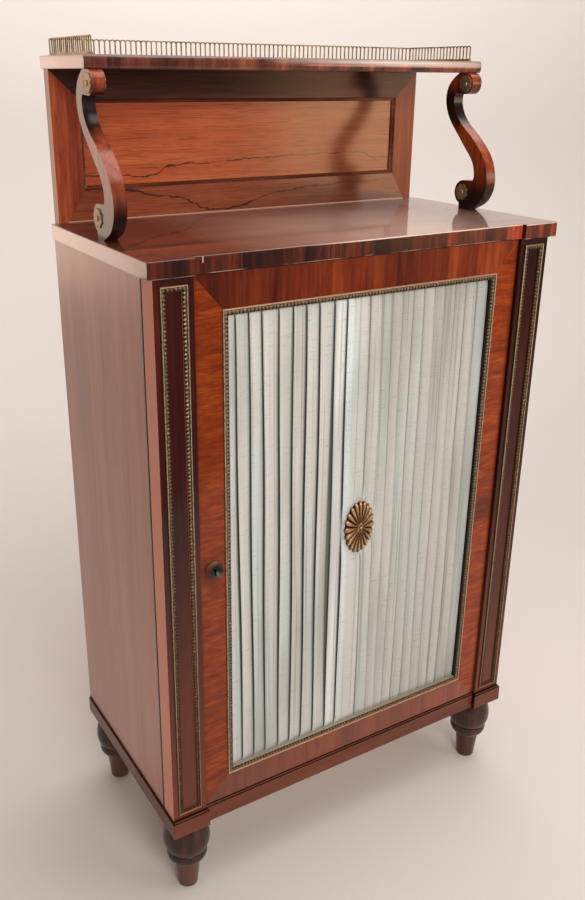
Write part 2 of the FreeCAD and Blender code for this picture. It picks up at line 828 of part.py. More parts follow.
# ---------------------------------------------------------------- upper stage
def make_upper_back():
    x = x_slab - upper_back_inset
    outer = (-x, x, z_slab, z_shelf)
    opening = (-x + upper_stile, x - upper_stile,
               z_slab_top + upper_bottom_rail, z_shelf - upper_top_rail)
    y_panel = y_upper + upper_panel_setback
    rebate = slab_of(grown(opening, upper_rebate), y_panel, y_back)
    names = ("stile_left", "stile_right", "rail_bottom", "rail_top")
    for name, bar in zip(names, mitred_frame(outer, opening, y_upper, y_back)):
        save("upper_back_" + name, bar.cut(rebate))
    save("upper_back_panel", slab_of(grown(opening, upper_rebate), y_panel, y_panel + upper_panel_thickness))
    proud = upper_panel_setback
    section = [(0.0, 0.0), (0.0, proud * 0.9), (upper_bead * 0.3, proud * 0.95),
               (upper_bead * 0.4, proud * 0.6), (upper_bead * 0.75, proud * 0.5),
               (upper_bead, proud * 0.15), (upper_bead, 0.0)]
    save("upper_back_bead", mitred_strips(opening, y_panel, section))


# Outline of the scroll bracket, as shares of its depth (front to back) and of
# its height (slab to shelf).
neck_back = [(0.751, 1.0), (0.871, 0.957), (0.96, 0.905), (1.0, 0.832), (0.975, 0.749),
             (0.9, 0.673), (0.662, 0.54), (0.527, 0.468), (0.333, 0.359), (0.284, 0.296),
             (0.279, 0.24)]
lower_scroll = [(0.3, 0.224), (0.492, 0.219), (0.662, 0.128), (0.558, 0.045)]
belly_front = [(0.363, 0.0), (0.294, 0.018), (0.154, 0.057), (0.04, 0.13), (0.0, 0.234),
               (0.025, 0.305), (0.089, 0.384), (0.211, 0.461), (0.394, 0.545), (0.576, 0.614),
               (0.711, 0.676), (0.786, 0.733), (0.822, 0.8), (0.818, 0.838)]
upper_scroll = [(0.791, 0.856), (0.597, 0.849), (0.453, 0.925), (0.597, 1.0)]
foot_back = (0.552, 0.0)
scroll_eyes = [(0.502, 0.13), (0.597, 0.92)]


def bracket_x():
    """Outer and inner X of the right bracket."""
    x_outer = x_slab - bracket_inset
    return x_outer - bracket_thickness, x_outer


def bracket_point(x, place):
    y0 = y_front + bracket_front_setback
    return V(x, y0 + place[0] * bracket_depth, z_slab_top + place[1] * alcove_height)


def dowel_places():
    """Height, Y and half of the bracket's dowels, foot and head."""
    low = bracket_point(0, (0.46, 0.0))
    high = bracket_point(0, (0.68, 1.0))
    return [low, high]


def bracket_dowels(grow=0.0):
    x0, x1 = bracket_x()
    dowels = []
    for side in (-1, 1):
        for place in dowel_places():
            middle = V(side * (x0 + x1) / 2, place.y, place.z)
            half = V(0, 0, dowel_half_length + grow)
            dowels.append(rod(dowel_radius + grow, middle - half, middle + half))
    return Part.makeCompound(dowels)


def make_bracket():
    """Right bracket: a flat S with a scroll at each end, cut from one board."""
    x0, x1 = bracket_x()
    back = [bracket_point(x0, p) for p in neck_back]
    low = [bracket_point(x0, p) for p in lower_scroll]
    front = [bracket_point(x0, p) for p in belly_front]
    high = [bracket_point(x0, p) for p in upper_scroll]
    heel = bracket_point(x0, foot_back)
    edges = [
        spline(back),
        Part.makeLine(back[-1], low[0]),
        Part.makeLine(low[0], low[1]),
        Part.Arc(low[1], low[2], low[3]).toShape(),
        Part.makeLine(low[3], heel),
        Part.makeLine(heel, front[0]),
        spline(front),
        Part.makeLine(front[-1], high[0]),
        Part.makeLine(high[0], high[1]),
        Part.Arc(high[1], high[2], high[3]).toShape(),
        Part.makeLine(high[3], back[0]),
    ]
    blade = Part.Face(Part.Wire(edges)).extrude(V(x1 - x0, 0, 0))
    return blade.cut(bracket_dowels(dowel_clearance))


def scroll_rosette(centre, way):
    """Small round flower: eight lobes and a raised button."""
    lobes = 8
    rim = scroll_rosette_radius
    valley = rim * 0.82
    edges = []
    for i in range(lobes):
        turns = [2 * math.pi * (i + share) / lobes for share in (0.0, 0.5, 1.0)]
        radii = (valley, rim, valley)
        a, b, c = [V(0, r * math.cos(t), r * math.sin(t)) for r, t in zip(radii, turns)]
        edges.append(Part.Arc(a, b, c).toShape())
    disc_height = scroll_rosette_relief * 0.55
    disc = Part.Face(Part.Wire(edges)).extrude(V(disc_height * way, 0, 0))
    button = Part.makeCone(rim * 0.4, rim * 0.24, scroll_rosette_relief, V(0, 0, 0), V(way, 0, 0))
    flower = disc.fuse(button)
    flower.translate(centre)
    return flower


def make_scroll_rosettes():
    """The right bracket's four: two on its outer and two on its inner face."""
    x0, x1 = bracket_x()
    flowers = []
    for eye in scroll_eyes:
        flowers.append(scroll_rosette(bracket_point(x1, eye), 1))
        flowers.append(scroll_rosette(bracket_point(x0, eye), -1))
    return Part.makeCompound(flowers)


def make_upper_shelf():
    """Shelf with a swelling front edge and eased arrises, holed for the dowels."""
    x = x_slab - shelf_inset_side
    y0 = y_front + shelf_front_setback
    low = V(-x, y0 + shelf_nose, z_shelf)
    swell = V(-x, y0, (z_shelf + z_shelf_top) / 2)
    high = V(-x, y0 + shelf_nose, z_shelf_top)
    edges = [Part.Arc(low, swell, high).toShape(), Part.makeLine(high, V(-x, y_back, z_shelf_top)),
             Part.makeLine(V(-x, y_back, z_shelf_top), V(-x, y_back, z_shelf)),
             Part.makeLine(V(-x, y_back, z_shelf), low)]
    board = Part.Face(Part.Wire(edges)).extrude(V(2 * x, 0, 0))
    arrises = [e for e in board.Edges if abs(e.Length - 2 * x) < 0.01
               and max(v.Y for v in e.Vertexes) < y_back - 1]
    board = board.makeFillet(shelf_arris, arrises)
    ends = box(-x, x, y0 - 1, y_back, z_shelf, z_shelf_top)
    corners = [e for e in ends.Edges if max(v.Y for v in e.Vertexes) - min(v.Y for v in e.Vertexes) > 1]
    shelf = board.common(ends.makeFillet(shelf_arris, corners))
    return shelf.cut(bracket_dowels(dowel_clearance))


def arch(left, right, spring, crown):
    """Segmental arc over a bay, drawn from right to left."""
    middle = V((left + right) / 2, 0, crown)
    return Part.Arc(V(right, 0, spring), middle, V(left, 0, spring)).toShape()


def gallery_strip(length):
    """Pierced arcade along +X from the origin: arches on spindles, on a stepped rail."""
    count = max(1, round((length - gallery_spindle) / gallery_pitch))
    pitch = (length - gallery_spindle) / count
    half_spindle = gallery_spindle / 2
    z0 = gallery_rail_height
    shoulder = gallery_height - gallery_scallop
    spring = gallery_height - gallery_top_wire - gallery_arch_rise
    rim = [Part.makeLine(V(0, 0, 0), V(length, 0, 0)), Part.makeLine(V(length, 0, 0), V(length, 0, shoulder)),
           Part.makeLine(V(0, 0, shoulder), V(0, 0, 0)),
           Part.makeLine(V(length, 0, shoulder), V(length - half_spindle, 0, shoulder)),
           Part.makeLine(V(half_spindle, 0, shoulder), V(0, 0, shoulder))]
    holes = []
    for i in range(count):
        post = half_spindle + i * pitch
        rim.append(arch(post, post + pitch, shoulder, gallery_height))
        left = post + half_spindle
        right = post + pitch - half_spindle
        holes.append(Part.Wire([
            Part.makeLine(V(left, 0, z0), V(right, 0, z0)),
            Part.makeLine(V(right, 0, z0), V(right, 0, spring)),
            arch(left, right, spring, gallery_height - gallery_top_wire),
            Part.makeLine(V(left, 0, spring), V(left, 0, z0)),
        ]))
    outline = Part.Wire(Part.__sortEdges__(rim))
    plate = Part.Face([outline] + holes, "Part::FaceMakerBullseye").extrude(V(0, gallery_plate, 0))
    plate.translate(V(0, -gallery_plate / 2, 0))
    half_rail = gallery_rail_width / 2
    step = gallery_rail_width * 0.18
    low = box(0, length, -half_rail, half_rail, 0, gallery_rail_height / 2)
    high = box(0, length, -half_rail + step, half_rail - step, gallery_rail_height / 2, gallery_rail_height)
    return joined([plate, low, high])


def make_gallery():
    x = x_slab - shelf_inset_side - gallery_inset_side
    y_rear = y_back - gallery_inset_back
    y_start = y_front + shelf_front_setback + gallery_inset_front
    half_rail = gallery_rail_width / 2
    back = gallery_strip(2 * x)
    back.translate(V(-x, y_rear, z_shelf_top))
    save("gallery_back", back)
    side = gallery_strip(y_rear - half_rail - y_start)
    side.rotate(V(0, 0, 0), V(0, 0, 1), 90)
    side.translate(V(-x + half_rail, y_start, z_shelf_top))
    save("gallery_left", side)
    save("gallery_right", mirrored(side))


# ---------------------------------------------------------------- build
def make_lower_stage():
    for name, (x, y) in foot_places().items():
        save("foot_" + name, turned_foot(x, y))
    front, side, rear = make_plinth()
    save("plinth_front", front.cut(pivot_cuts("frame")))
    save("plinth_left", side)
    save("plinth_right", mirrored(side))
    save("plinth_back", rear)
    save("corner_blocks", make_corner_blocks())
    save("bottom_rail", make_bottom_rail())
    save("bottom_board", box(-x_inner, x_inner, y_inside, y_boards, z_carcass, z_carcass + bottom_thickness))

    side = make_side()
    save("side_left", side.cut(Part.makeCompound(bearer_screws(-1, screw_clearance))))
    save("side_right", mirrored(side).cut(Part.makeCompound(bearer_screws(1, screw_clearance))))
    bearer = make_bearer()
    save("shelf_bearer_left", bearer)
    save("shelf_bearer_right", mirrored(bearer))
    save("bearer_screws", Part.makeCompound(bearer_screws(-1) + bearer_screws(1)))
    save("inner_shelf", box(-x_inner + inner_shelf_gap, x_inner - inner_shelf_gap,
                            y_inside + inner_shelf_setback, y_boards - inner_shelf_gap,
                            inner_shelf_z, inner_shelf_z + inner_shelf_thickness))
    save("back_boards", make_back_boards())

    pilaster = make_pilaster()
    save("pilaster_left", pilaster.cut(bolt_mortise()))
    save("pilaster_right", mirrored(pilaster))
    strips = mitred_strips(pilaster_panel(0.0), y_pilaster, moulding_section(pilaster_moulding_width))
    save("pilaster_moulding_left", strips)
    save("pilaster_moulding_right", mirrored(strips))

    y_rear_rail = y_boards - rail_depth
    save("top_rail_front", make_top_rail(y_inside))
    save("top_rail_back", make_top_rail(y_rear_rail))
    screws = slab_screws(y_inside) + slab_screws(y_rear_rail)
    save("slab_screws", Part.makeCompound(screws))
    holes = slab_screws(y_inside, screw_clearance) + slab_screws(y_rear_rail, screw_clearance)
    slab = make_slab().cut(Part.makeCompound(holes)).cut(bracket_dowels(dowel_clearance))
    save("top_slab", slab.cut(pivot_cuts("frame")))


def make_upper_stage():
    make_upper_back()
    bracket = make_bracket()
    save("bracket_right", bracket)
    save("bracket_left", mirrored(bracket))
    save("bracket_dowels", bracket_dowels())
    flowers = make_scroll_rosettes()
    save("bracket_rosettes_right", flowers)
    save("bracket_rosettes_left", mirrored(flowers))
    save("upper_shelf", make_upper_shelf())
    make_gallery()


os.makedirs("parts", exist_ok=True)
make_lower_stage()
make_door()
make_pivots()
make_upper_stage()
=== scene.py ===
# %% [markdown]
# # A small Regency chiffonier
# The cupboard was drawn and assembled in a CAD program, piece by piece, and
# that model is loaded here as a fixed frame.  What is left for Blender is what
# the eye judges: polished rosewood, aged brass, pleated silk, and the cast
# ornament that is too fine for the construction model.  Nothing from the frame
# is moved: each of its pieces either gets a finish or is replaced by a finer
# piece in the same place.

# %% Load the construction model
import math
from functools import reduce

import bmesh
import bpy
from mathutils import Matrix, Vector


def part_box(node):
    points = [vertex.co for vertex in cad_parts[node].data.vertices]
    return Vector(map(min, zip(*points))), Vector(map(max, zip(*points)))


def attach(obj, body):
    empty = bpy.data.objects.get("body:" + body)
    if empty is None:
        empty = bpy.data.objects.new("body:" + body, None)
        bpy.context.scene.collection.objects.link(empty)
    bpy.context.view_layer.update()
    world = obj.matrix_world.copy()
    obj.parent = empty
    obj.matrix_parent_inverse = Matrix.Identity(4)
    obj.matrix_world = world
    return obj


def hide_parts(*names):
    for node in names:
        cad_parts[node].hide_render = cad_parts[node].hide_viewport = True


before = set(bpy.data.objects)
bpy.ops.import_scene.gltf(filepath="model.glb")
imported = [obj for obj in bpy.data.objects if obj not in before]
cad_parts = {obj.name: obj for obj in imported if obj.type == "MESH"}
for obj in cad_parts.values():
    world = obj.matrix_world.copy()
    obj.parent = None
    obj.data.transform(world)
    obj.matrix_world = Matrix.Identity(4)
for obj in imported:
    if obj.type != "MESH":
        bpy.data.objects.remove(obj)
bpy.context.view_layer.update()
scene = bpy.context.scene
dressed = []


def dress(finish, words):
    """Give a finish to each construction piece whose name starts with one of the words."""
    for name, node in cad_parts.items():
        if name.startswith(tuple(words.split())):
            node.data.materials.clear()
            node.data.materials.append(finish)
            dressed.append(name)


print("pieces in the frame:", len(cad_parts))

# %% [markdown]
# ## The camera
# A camera held by hand at chest height, a good metre in front of the left end
# of the cupboard and looking down on it.  Its place, its heading and its lens
# come from the straight edges of the cupboard.  A camera looks along its own
# -Z, so its three axes are written straight into its matrix.

# %% Camera
CAMERA_PLACE = (-0.69966, -1.06544, 1.10758)
camera_data = bpy.data.cameras.new("camera")
camera_data.sensor_width = 36.0
camera_data.lens = 36.65
camera_data.shift_x = 0.0222
camera_data.shift_y = -0.0213
camera_data.clip_start = 0.05
camera = bpy.data.objects.new("camera", camera_data)
scene.collection.objects.link(camera)

yaw, pitch, roll = (math.radians(angle) for angle in (31.31, -21.19, 0.44))
ahead = Vector((math.sin(yaw) * math.cos(pitch), math.cos(yaw) * math.cos(pitch), math.sin(pitch)))
level = Vector((math.cos(yaw), -math.sin(yaw), 0.0))
upright = level.cross(ahead)
right = level * math.cos(roll) + upright * math.sin(roll)
up = upright * math.cos(roll) - level * math.sin(roll)
turn = Matrix((right, up, -ahead)).transposed().to_4x4()
camera.matrix_world = Matrix.Translation(CAMERA_PLACE) @ turn
scene.camera = camera
print("camera at", tuple(round(c, 3) for c in camera.location))

# %% [markdown]
# ## Floor, backdrop and light
# A studio puts a piece like this on pale paper that runs up behind it in a
# curve, so that no line shows where floor meets wall.  The paper here stands
# square to the camera.  It ends a little in front of the cupboard, where the
# room is dark: polished wood mirrors what lies before it, so the foot of the
# door carries a veil from the paper and its upper part stays deep and clear.

# %% Paper behind and below the piece
CURVE_STEPS = 12


def outward(bm):
    bmesh.ops.recalc_face_normals(bm, faces=bm.faces)


def swept_paper(front, back, curve, height, width):
    """Floor, curve and wall as one profile, pushed sideways into a sheet."""
    profile = [(-front, 0.0), (0.0, 0.0), (back * 0.5, 0.0)]
    for i in range(CURVE_STEPS + 1):
        a = math.radians(90 * i / CURVE_STEPS)
        profile.append((back + curve * math.sin(a), curve * (1 - math.cos(a))))
    profile.append((back + curve, height))
    bm = bmesh.new()
    verts = [bm.verts.new((-width / 2, y, z)) for y, z in profile]
    edges = [bm.edges.new(pair) for pair in zip(verts, verts[1:])]
    pushed = bmesh.ops.extrude_edge_only(bm, edges=edges)
    moved = [g for g in pushed["geom"] if isinstance(g, bmesh.types.BMVert)]
    bmesh.ops.translate(bm, verts=moved, vec=(width, 0, 0))
    bmesh.ops.rotate(bm, verts=bm.verts, matrix=Matrix.Rotation(-yaw, 3, "Z"))
    outward(bm)
    return bm


def to_object(bm, name, smooth=False):
    """Turn a finished bmesh into an object that sits at the origin."""
    mesh = bpy.data.meshes.new(name)
    for face in bm.faces:
        face.smooth = smooth
    bm.to_mesh(mesh)
    bm.free()
    made = bpy.data.objects.new(name, mesh)
    scene.collection.objects.link(made)
    return made


paper = to_object(swept_paper(front=1.0, back=1.7, curve=0.9, height=3.6, width=7.0), "paper", smooth=True)
print("paper faces:", len(paper.data.polygons))

# %% [markdown]
# Six soft lights stay out of the picture: one in front at head height, one
# overhead, one that washes the paper behind, one low behind the left shoulder
# that grazes the cupboard's end and brackets, and a small one far out to the
# right that only the rounded edges catch.  The sixth stands for an open
# doorway in front and to the right.  It is set where the polished back of the
# upper stage mirrors the room, so the right-hand bracket, which stands before
# it, shows in that polish as a dark S.

# %% Lights
CREAM = (1.0, 0.97, 0.94)


def soft_light(name, place, target, size, watts, tint=CREAM, spread=180):
    data = bpy.data.lights.new(name, "AREA")
    data.shape = "RECTANGLE"
    data.size, data.size_y = size
    data.energy = watts
    data.color = tint
    data.spread = math.radians(spread)
    light = bpy.data.objects.new(name, data)
    scene.collection.objects.link(light)
    light.location = place
    light.rotation_euler = (Vector(target) - Vector(place)).to_track_quat("-Z", "Y").to_euler()
    light.visible_camera = False


soft_light("window", (-1.25, 2.1, 0.95), (-0.3, 0.0, 0.95), (1.5, 1.1), 2.1, (1.0, 0.68, 0.53), spread=75)
soft_light("front", (-0.6, -2.7, 1.75), (0.0, 0.0, 0.75), (1.6, 1.2), 43, (1.0, 0.98, 0.94), spread=150)
soft_light("ceiling", (0.7, -0.1, 3.1), (0.2, 0.2, 0.0), (2.8, 2.2), 62)
soft_light("wall", (0.0, 1.3, 3.4), (0.4, 2.8, 2.3), (4.2, 0.8), 62, spread=130)
soft_light("doorway", (2.12, -2.5, 0.86), (0.12, 0.15, 1.0), (0.80, 0.7), 0.92, (1.0, 0.52, 0.27), spread=50)
soft_light("sheen", (2.5, -2.2, 1.5), (0.3, 0.0, 1.1), (1.1, 0.6), 9, (1.0, 0.97, 0.95))

world = bpy.data.worlds.new("studio")
world.use_nodes = True
room = world.node_tree.nodes["Background"].inputs
room["Color"].default_value = (1.0, 0.96, 0.92, 1.0)
room["Strength"].default_value = 0.14
scene.world = world
scene.view_settings.view_transform = "Standard"

# %% [markdown]
# ## Helpers for finishes
# A finish is a graph of nodes.  `add` makes one node, sets its values and wires
# the sockets it is given, so a finish reads as a list of steps.  Colours
# are written as the eye would name them on a screen and turned into the linear
# values that Blender works in.

# %% Node helpers
def linear(red, green, blue):
    """Screen colour, 0 to 255, as linear values for a shader."""
    shares = [c / 255 for c in (red, green, blue)]
    return tuple(t / 12.92 if t <= 0.04045 else ((t + 0.055) / 1.055) ** 2.4 for t in shares) + (1.0,)


def palette(*colours):
    """Several screen colours, from dark to light."""
    return tuple(linear(*colour) for colour in colours)


def add(tree, kind, links=None, **settings):
    node = tree.nodes.new("ShaderNode" + kind)
    for key, value in settings.items():
        setattr(node, key, value)
    for key, value in (links or {}).items():
        if isinstance(value, bpy.types.NodeSocket):
            tree.links.new(value, node.inputs[key])
        else:
            node.inputs[key].default_value = value
    return node


def math_node(tree, operation, a, b=0.0, c=0.0):
    return add(tree, "Math", {0: a, 1: b, 2: c}, operation=operation).outputs[0]


def plus(tree, a, b):
    return math_node(tree, "ADD", a, b)


def times(tree, a, b):
    return math_node(tree, "MULTIPLY", a, b)


def scaled(tree, value, gain, offset):
    return math_node(tree, "MULTIPLY_ADD", value, gain, offset)


def above(tree, value, limit):
    return math_node(tree, "GREATER_THAN", value, limit)


def below(tree, value, limit):
    return math_node(tree, "LESS_THAN", value, limit)


def ramp(tree, factor, *stops):
    """Colour ramp from (position, colour) stops, where a number is a grey."""
    node = add(tree, "ValToRGB", {"Fac": factor})
    marks = node.color_ramp.elements
    while len(marks) < len(stops):
        marks.new(0.5)
    for mark, (position, colour) in zip(marks, stops):
        mark.position = position
        shades = (colour,) * 3 if isinstance(colour, (int, float)) else colour[:3]
        mark.color = (*shades, 1.0)
    return node.outputs["Color"]


def mix(tree, factor, a, b, blend="MIX"):
    return add(tree, "Mix", {0: factor, 6: a, 7: b}, data_type="RGBA", blend_type=blend).outputs[2]


def multiplied(tree, colour, by):
    return mix(tree, 1.0, colour, by, "MULTIPLY")


def stained(tree, colour, mask, amount, tone):
    """A colour with a tone laid over it where a mask says, by a given amount."""
    return mix(tree, times(tree, mask, amount), colour, tone)


def object_space(tree):
    return add(tree, "TexCoord").outputs["Object"]


def mapped(tree, vector, scale, shift=(0.0, 0.0, 0.0)):
    links = {"Vector": vector, "Scale": scale, "Location": shift}
    return add(tree, "Mapping", links).outputs["Vector"]


def noise(tree, vector, scale, detail=2.0, roughness=0.5, distortion=0.0):
    links = {"Vector": vector, "Scale": scale, "Detail": detail, "Roughness": roughness,
             "Distortion": distortion}
    return add(tree, "TexNoise", links).outputs["Fac"]


def bumps(tree, height, distance, strength=0.4, **normal):
    links = {"Height": height, "Distance": distance, "Strength": strength, **normal}
    return add(tree, "Bump", links).outputs["Normal"]


def drive(tree, shader, **sockets):
    """Wire what varies over the surface into the shader, by the socket's name."""
    for key, socket in sockets.items():
        tree.links.new(socket, shader.inputs[key.replace("_", " ").title()])


def fresh(name, **values):
    """New material and its shader, with plain values set on the shader."""
    material = bpy.data.materials.new(name)
    material.use_nodes = True
    shader = material.node_tree.nodes["Principled BSDF"]
    for key, value in values.items():
        shader.inputs[key.replace("_", " ").title().replace("Ior", "IOR")].default_value = value
    return material, material.node_tree, shader


paper_finish, _, _ = fresh("paper_finish", base_color=(0.71, 0.648, 0.612, 1.0), roughness=0.9)
paper.data.materials.append(paper_finish)
print("screen grey 128 is linear", round(linear(128, 128, 128)[0], 3))

# %% [markdown]
# ## Rosewood
# Rosewood is a red-brown wood with darker, sometimes black, figure that runs
# with the grain, fine open pores, and here a hard French polish.  Each finish
# below is one recipe with its own grain direction and tones: a broad
# figure, a finer streak, short dark pores, and a thin clear coat over all.
# Noise is stretched along the grain by scaling that axis down.

# %% Rosewood recipe
# The near-black tone of painted shade, laid in grooves, recesses and hollows.
SHADE_DARK = linear(20, 9, 7)


def stretched(tree, grain, squeeze, shift=(0.0, 0.0, 0.0)):
    """Object coordinates, squeezed along the grain so that noise draws out."""
    return mapped(tree, object_space(tree), [squeeze if a == grain else 1.0 for a in "xyz"], shift)


def grain_colour(tree, grain, tones, seed, figure=16.0, streak=150.0, contrast=1.0, squeeze=0.10):
    """Figure, streaks and pores of one cut of rosewood.  Returns colour and streaks."""
    shift = (seed * 1.37, seed * 0.71, seed * 2.11)
    broad = noise(tree, stretched(tree, grain, squeeze, shift), figure, 4.0, 0.62, 0.5)
    fine = noise(tree, stretched(tree, grain, 0.035, shift), streak, 4.0, 0.6)
    pore = noise(tree, stretched(tree, grain, 0.05, shift), 900.0, 1.0)
    level = scaled(tree, fine, 0.45 * contrast, scaled(tree, broad, 0.9 * contrast, 0.5 - 0.675 * contrast))
    dark, middle, light = tones
    colour = ramp(tree, level, (0.30, dark), (0.50, middle), (0.70, light))
    return stained(tree, colour, below(tree, pore, 0.38), 0.35, dark), fine


def polish(tree, shader, colour, texture, depth=0.00008, arris=0.0011):
    """French polish over wood whose arrises hands have rounded a little."""
    worn_edge = add(tree, "Bevel", {"Radius": arris}, samples=4).outputs["Normal"]
    drive(tree, shader, base_color=colour, normal=bumps(tree, texture, depth, 0.5, Normal=worn_edge))


def place_of(tree):
    """Object coordinates as three separate sockets."""
    return add(tree, "SeparateXYZ", {0: object_space(tree)}).outputs


def facing_of(tree):
    """The direction a face looks in, as three separate sockets."""
    return add(tree, "SeparateXYZ", {0: add(tree, "TexCoord").outputs["Normal"]}).outputs


def fade(tree, value, start, end, low=0.0, high=1.0):
    """From low to high as a value goes from start to end."""
    return add(tree, "MapRange", {0: value, 1: start, 2: end, 3: low, 4: high}).outputs[0]


def between(tree, value, low, high, soft=0.0004):
    """1 where a value lies between two limits, with soft ends."""
    up = fade(tree, value, low - soft, low + soft)
    down = fade(tree, value, high + soft, high - soft)
    return times(tree, up, down)


def both(tree, *masks):
    return reduce(lambda one, two: times(tree, one, two), masks)


def either(tree, *masks):
    return reduce(lambda one, two: math_node(tree, "MAXIMUM", one, two), masks)


def wood_finish(name, gloss=0.12, haze=0.08, coat=0.9):
    return fresh("rosewood_" + name, roughness=0.42, specular_ior_level=haze, coat_weight=coat,
                 coat_roughness=gloss, coat_ior=1.5)


def rosewood(name, grain, tones, seed, figure=16.0, streak=150.0, contrast=1.0, squeeze=0.10, gloss=0.12,
             haze=0.08, coat=0.9, stain_or_shade=None, lit_left=None, painted_shade=None):
    """A finish.  A tint is a mask, an amount and a tone, for a real mark or for painted shade; a mask alone
    lays painted shade; a tone alone is painted light on the faces that look to the left.
    """
    material, tree, shader = wood_finish(name, gloss, haze, coat)
    colour, texture = grain_colour(tree, grain, tones, seed, figure, streak, contrast, squeeze)
    if stain_or_shade:
        mask, amount, tone = stain_or_shade
        colour = stained(tree, colour, mask(tree), amount, tone)
    # Painted light: faces that look to the left take a pale tone, for the window's sheen on them.
    if lit_left:
        colour = mix(tree, left_return(tree), colour, lit_left)
    # Painted shade: the near-black tone where the mask says shade falls.
    if painted_shade:
        colour = mix(tree, painted_shade(tree), colour, SHADE_DARK)
    polish(tree, shader, colour, texture)
    return material


print("a rosewood finish takes grain, tones and a seed")

# %% [markdown]
# Painted shade darkens the places where shade gathers: the ledge above the
# plinth, the quirk beside each pilaster, the inner edge of the door frame and
# the keyhole, and the cuts of the turned feet.  Hands have darkened the stile
# round the keyhole, and the foot of each pilaster is lighter.  Each of these is
# a small mask made from the object's own coordinates.

# %% Where painted shade falls, and where the wood is darker or lighter
REVEAL_SIDE, REVEAL_FOOT, REVEAL_HEAD = 0.2061, 0.1954, 0.8490
KEYHOLE_X, KEYHOLE_Z = (-0.2365, -0.2227), (0.5135, 0.5275)
DOOR_EDGES = (0.2455, 0.26)


def left_return(tree):
    """A face that looks to the left."""
    return below(tree, facing_of(tree)[0], -0.5)


def right_hand(tree):
    """Whatever lies on the right, away from the light."""
    return above(tree, place_of(tree)[0], 0.0)


def inner_return(tree):
    """The left-hand return of a piece that stands on the right."""
    return both(tree, left_return(tree), right_hand(tree))


def reveal_shade(tree):
    """Painted shade on the inner edge of the door frame, behind the brass, and in the keyhole."""
    x, _, z = place_of(tree)
    reveal = both(tree, between(tree, x, -REVEAL_SIDE, REVEAL_SIDE, 0.0001),
                  between(tree, z, REVEAL_FOOT, REVEAL_HEAD, 0.0001))
    keyhole = both(tree, between(tree, x, *KEYHOLE_X), between(tree, z, *KEYHOLE_Z))
    return either(tree, reveal, keyhole)


def stile_stains(tree):
    """Where the stiles are darker: round the keyhole, where hands have darkened them, most of all; along the
    door's outer edges; over the left stile; and in a patch on the right stile.
    """
    x, _, z = place_of(tree)
    key = both(tree, between(tree, x, -0.252, -0.222, 0.010), between(tree, z, 0.497, 0.540, 0.016))
    low, high = DOOR_EDGES
    ends = plus(tree, between(tree, x, -high, -low, 0.004), between(tree, x, low, high, 0.004))
    left = times(tree, below(tree, x, 0.0), 0.26)
    patch = both(tree, between(tree, z, 0.473, 0.512, 0.010), above(tree, x, 0.0))
    return either(tree, times(tree, ends, 0.6), left, key, times(tree, patch, 0.85))


def quirk_shade(tree):
    """Painted shade in the groove where each side meets its pilaster."""
    return between(tree, place_of(tree)[1], -0.1290, -0.1222)


def ledge_shade(tree):
    """Painted shade on the top of the plinth and on the left-hand return of its right block."""
    return either(tree, above(tree, facing_of(tree)[2], 0.4), inner_return(tree))


def toward_foot(tree):
    """The lower part of a pilaster, rising to full towards its foot."""
    return fade(tree, place_of(tree)[2], 0.56, 0.16)


def foot_shade(tree):
    """Painted shade in the cut between ring and bulb, and in the corner above the taper."""
    z = place_of(tree)[2]
    cut = between(tree, z, 0.0683, 0.0712)
    corner = between(tree, z, 0.0462, 0.0482, 0.0008)
    return either(tree, cut, times(tree, corner, 0.6))


def foot_taper(tree):
    """The plain taper of a foot, made paler, most on the left feet."""
    x, _, z = place_of(tree)
    return both(tree, between(tree, z, -0.01, 0.046, 0.002), scaled(tree, below(tree, x, 0.0), 0.75, 0.25))


def bracket_figure(tree):
    """Near-black bands at the neck and at the foot of each scroll bracket."""
    wander = noise(tree, stretched(tree, "z", 0.4, (3.0, 1.0, 2.0)), 45.0, 3.0)
    height = scaled(tree, wander, 0.036, math_node(tree, "SUBTRACT", place_of(tree)[2], 0.018))
    return either(tree, between(tree, height, 1.040, 1.094, 0.009), between(tree, height, 0.90, 0.966, 0.014))


print("the reveal is", round(2000 * REVEAL_SIDE, 1), "mm wide")

# %% [markdown]
# One cupboard is never one colour.  Each set of three tones below goes from the
# darkest figure to the lightest: the door is a warm orange red, the pilasters
# are nearly black, and the sides are a pale brown that holds a painted haze of
# the light they reflect.

# %% Rosewood, cut by cut
orange_red = palette((75, 20, 4), (135, 50, 10), (174, 82, 19))
maroon = palette((24, 6, 4), (56, 15, 8), (90, 30, 15))
deep_maroon = palette((20, 5, 3), (42, 12, 7), (66, 24, 13))
scroll_brown = palette((80, 27, 12), (134, 54, 25), (178, 88, 44))
plain_brown = palette((146, 82, 54), (178, 108, 76), (198, 132, 98))
back_brown = palette((88, 28, 14), (158, 66, 38), (198, 104, 62))
# The back's top rail is dark, partly from painted shade under the shelf.
back_top_shaded = palette((26, 11, 8), (60, 28, 21), (98, 54, 40))
bead_brown = palette((46, 19, 12), (88, 40, 25), (140, 78, 52))
plinth_brown = palette((74, 34, 18), (102, 50, 30), (130, 72, 46))
foot_brown = palette((30, 15, 11), (60, 34, 26), (86, 54, 43))

dress(rosewood("stiles", "x", orange_red, 1.0, 150.0, 420.0, 0.6, 0.22, coat=0.5,
               stain_or_shade=(stile_stains, 0.7, linear(44, 13, 7)), painted_shade=reveal_shade),
      "door_stile")
# The sides' pale tones carry a painted haze of the light their polish reflects.
dress(rosewood("sides", "z", plain_brown, 2.0, contrast=0.6, gloss=0.3, haze=0.2, painted_shade=quirk_shade), "side")
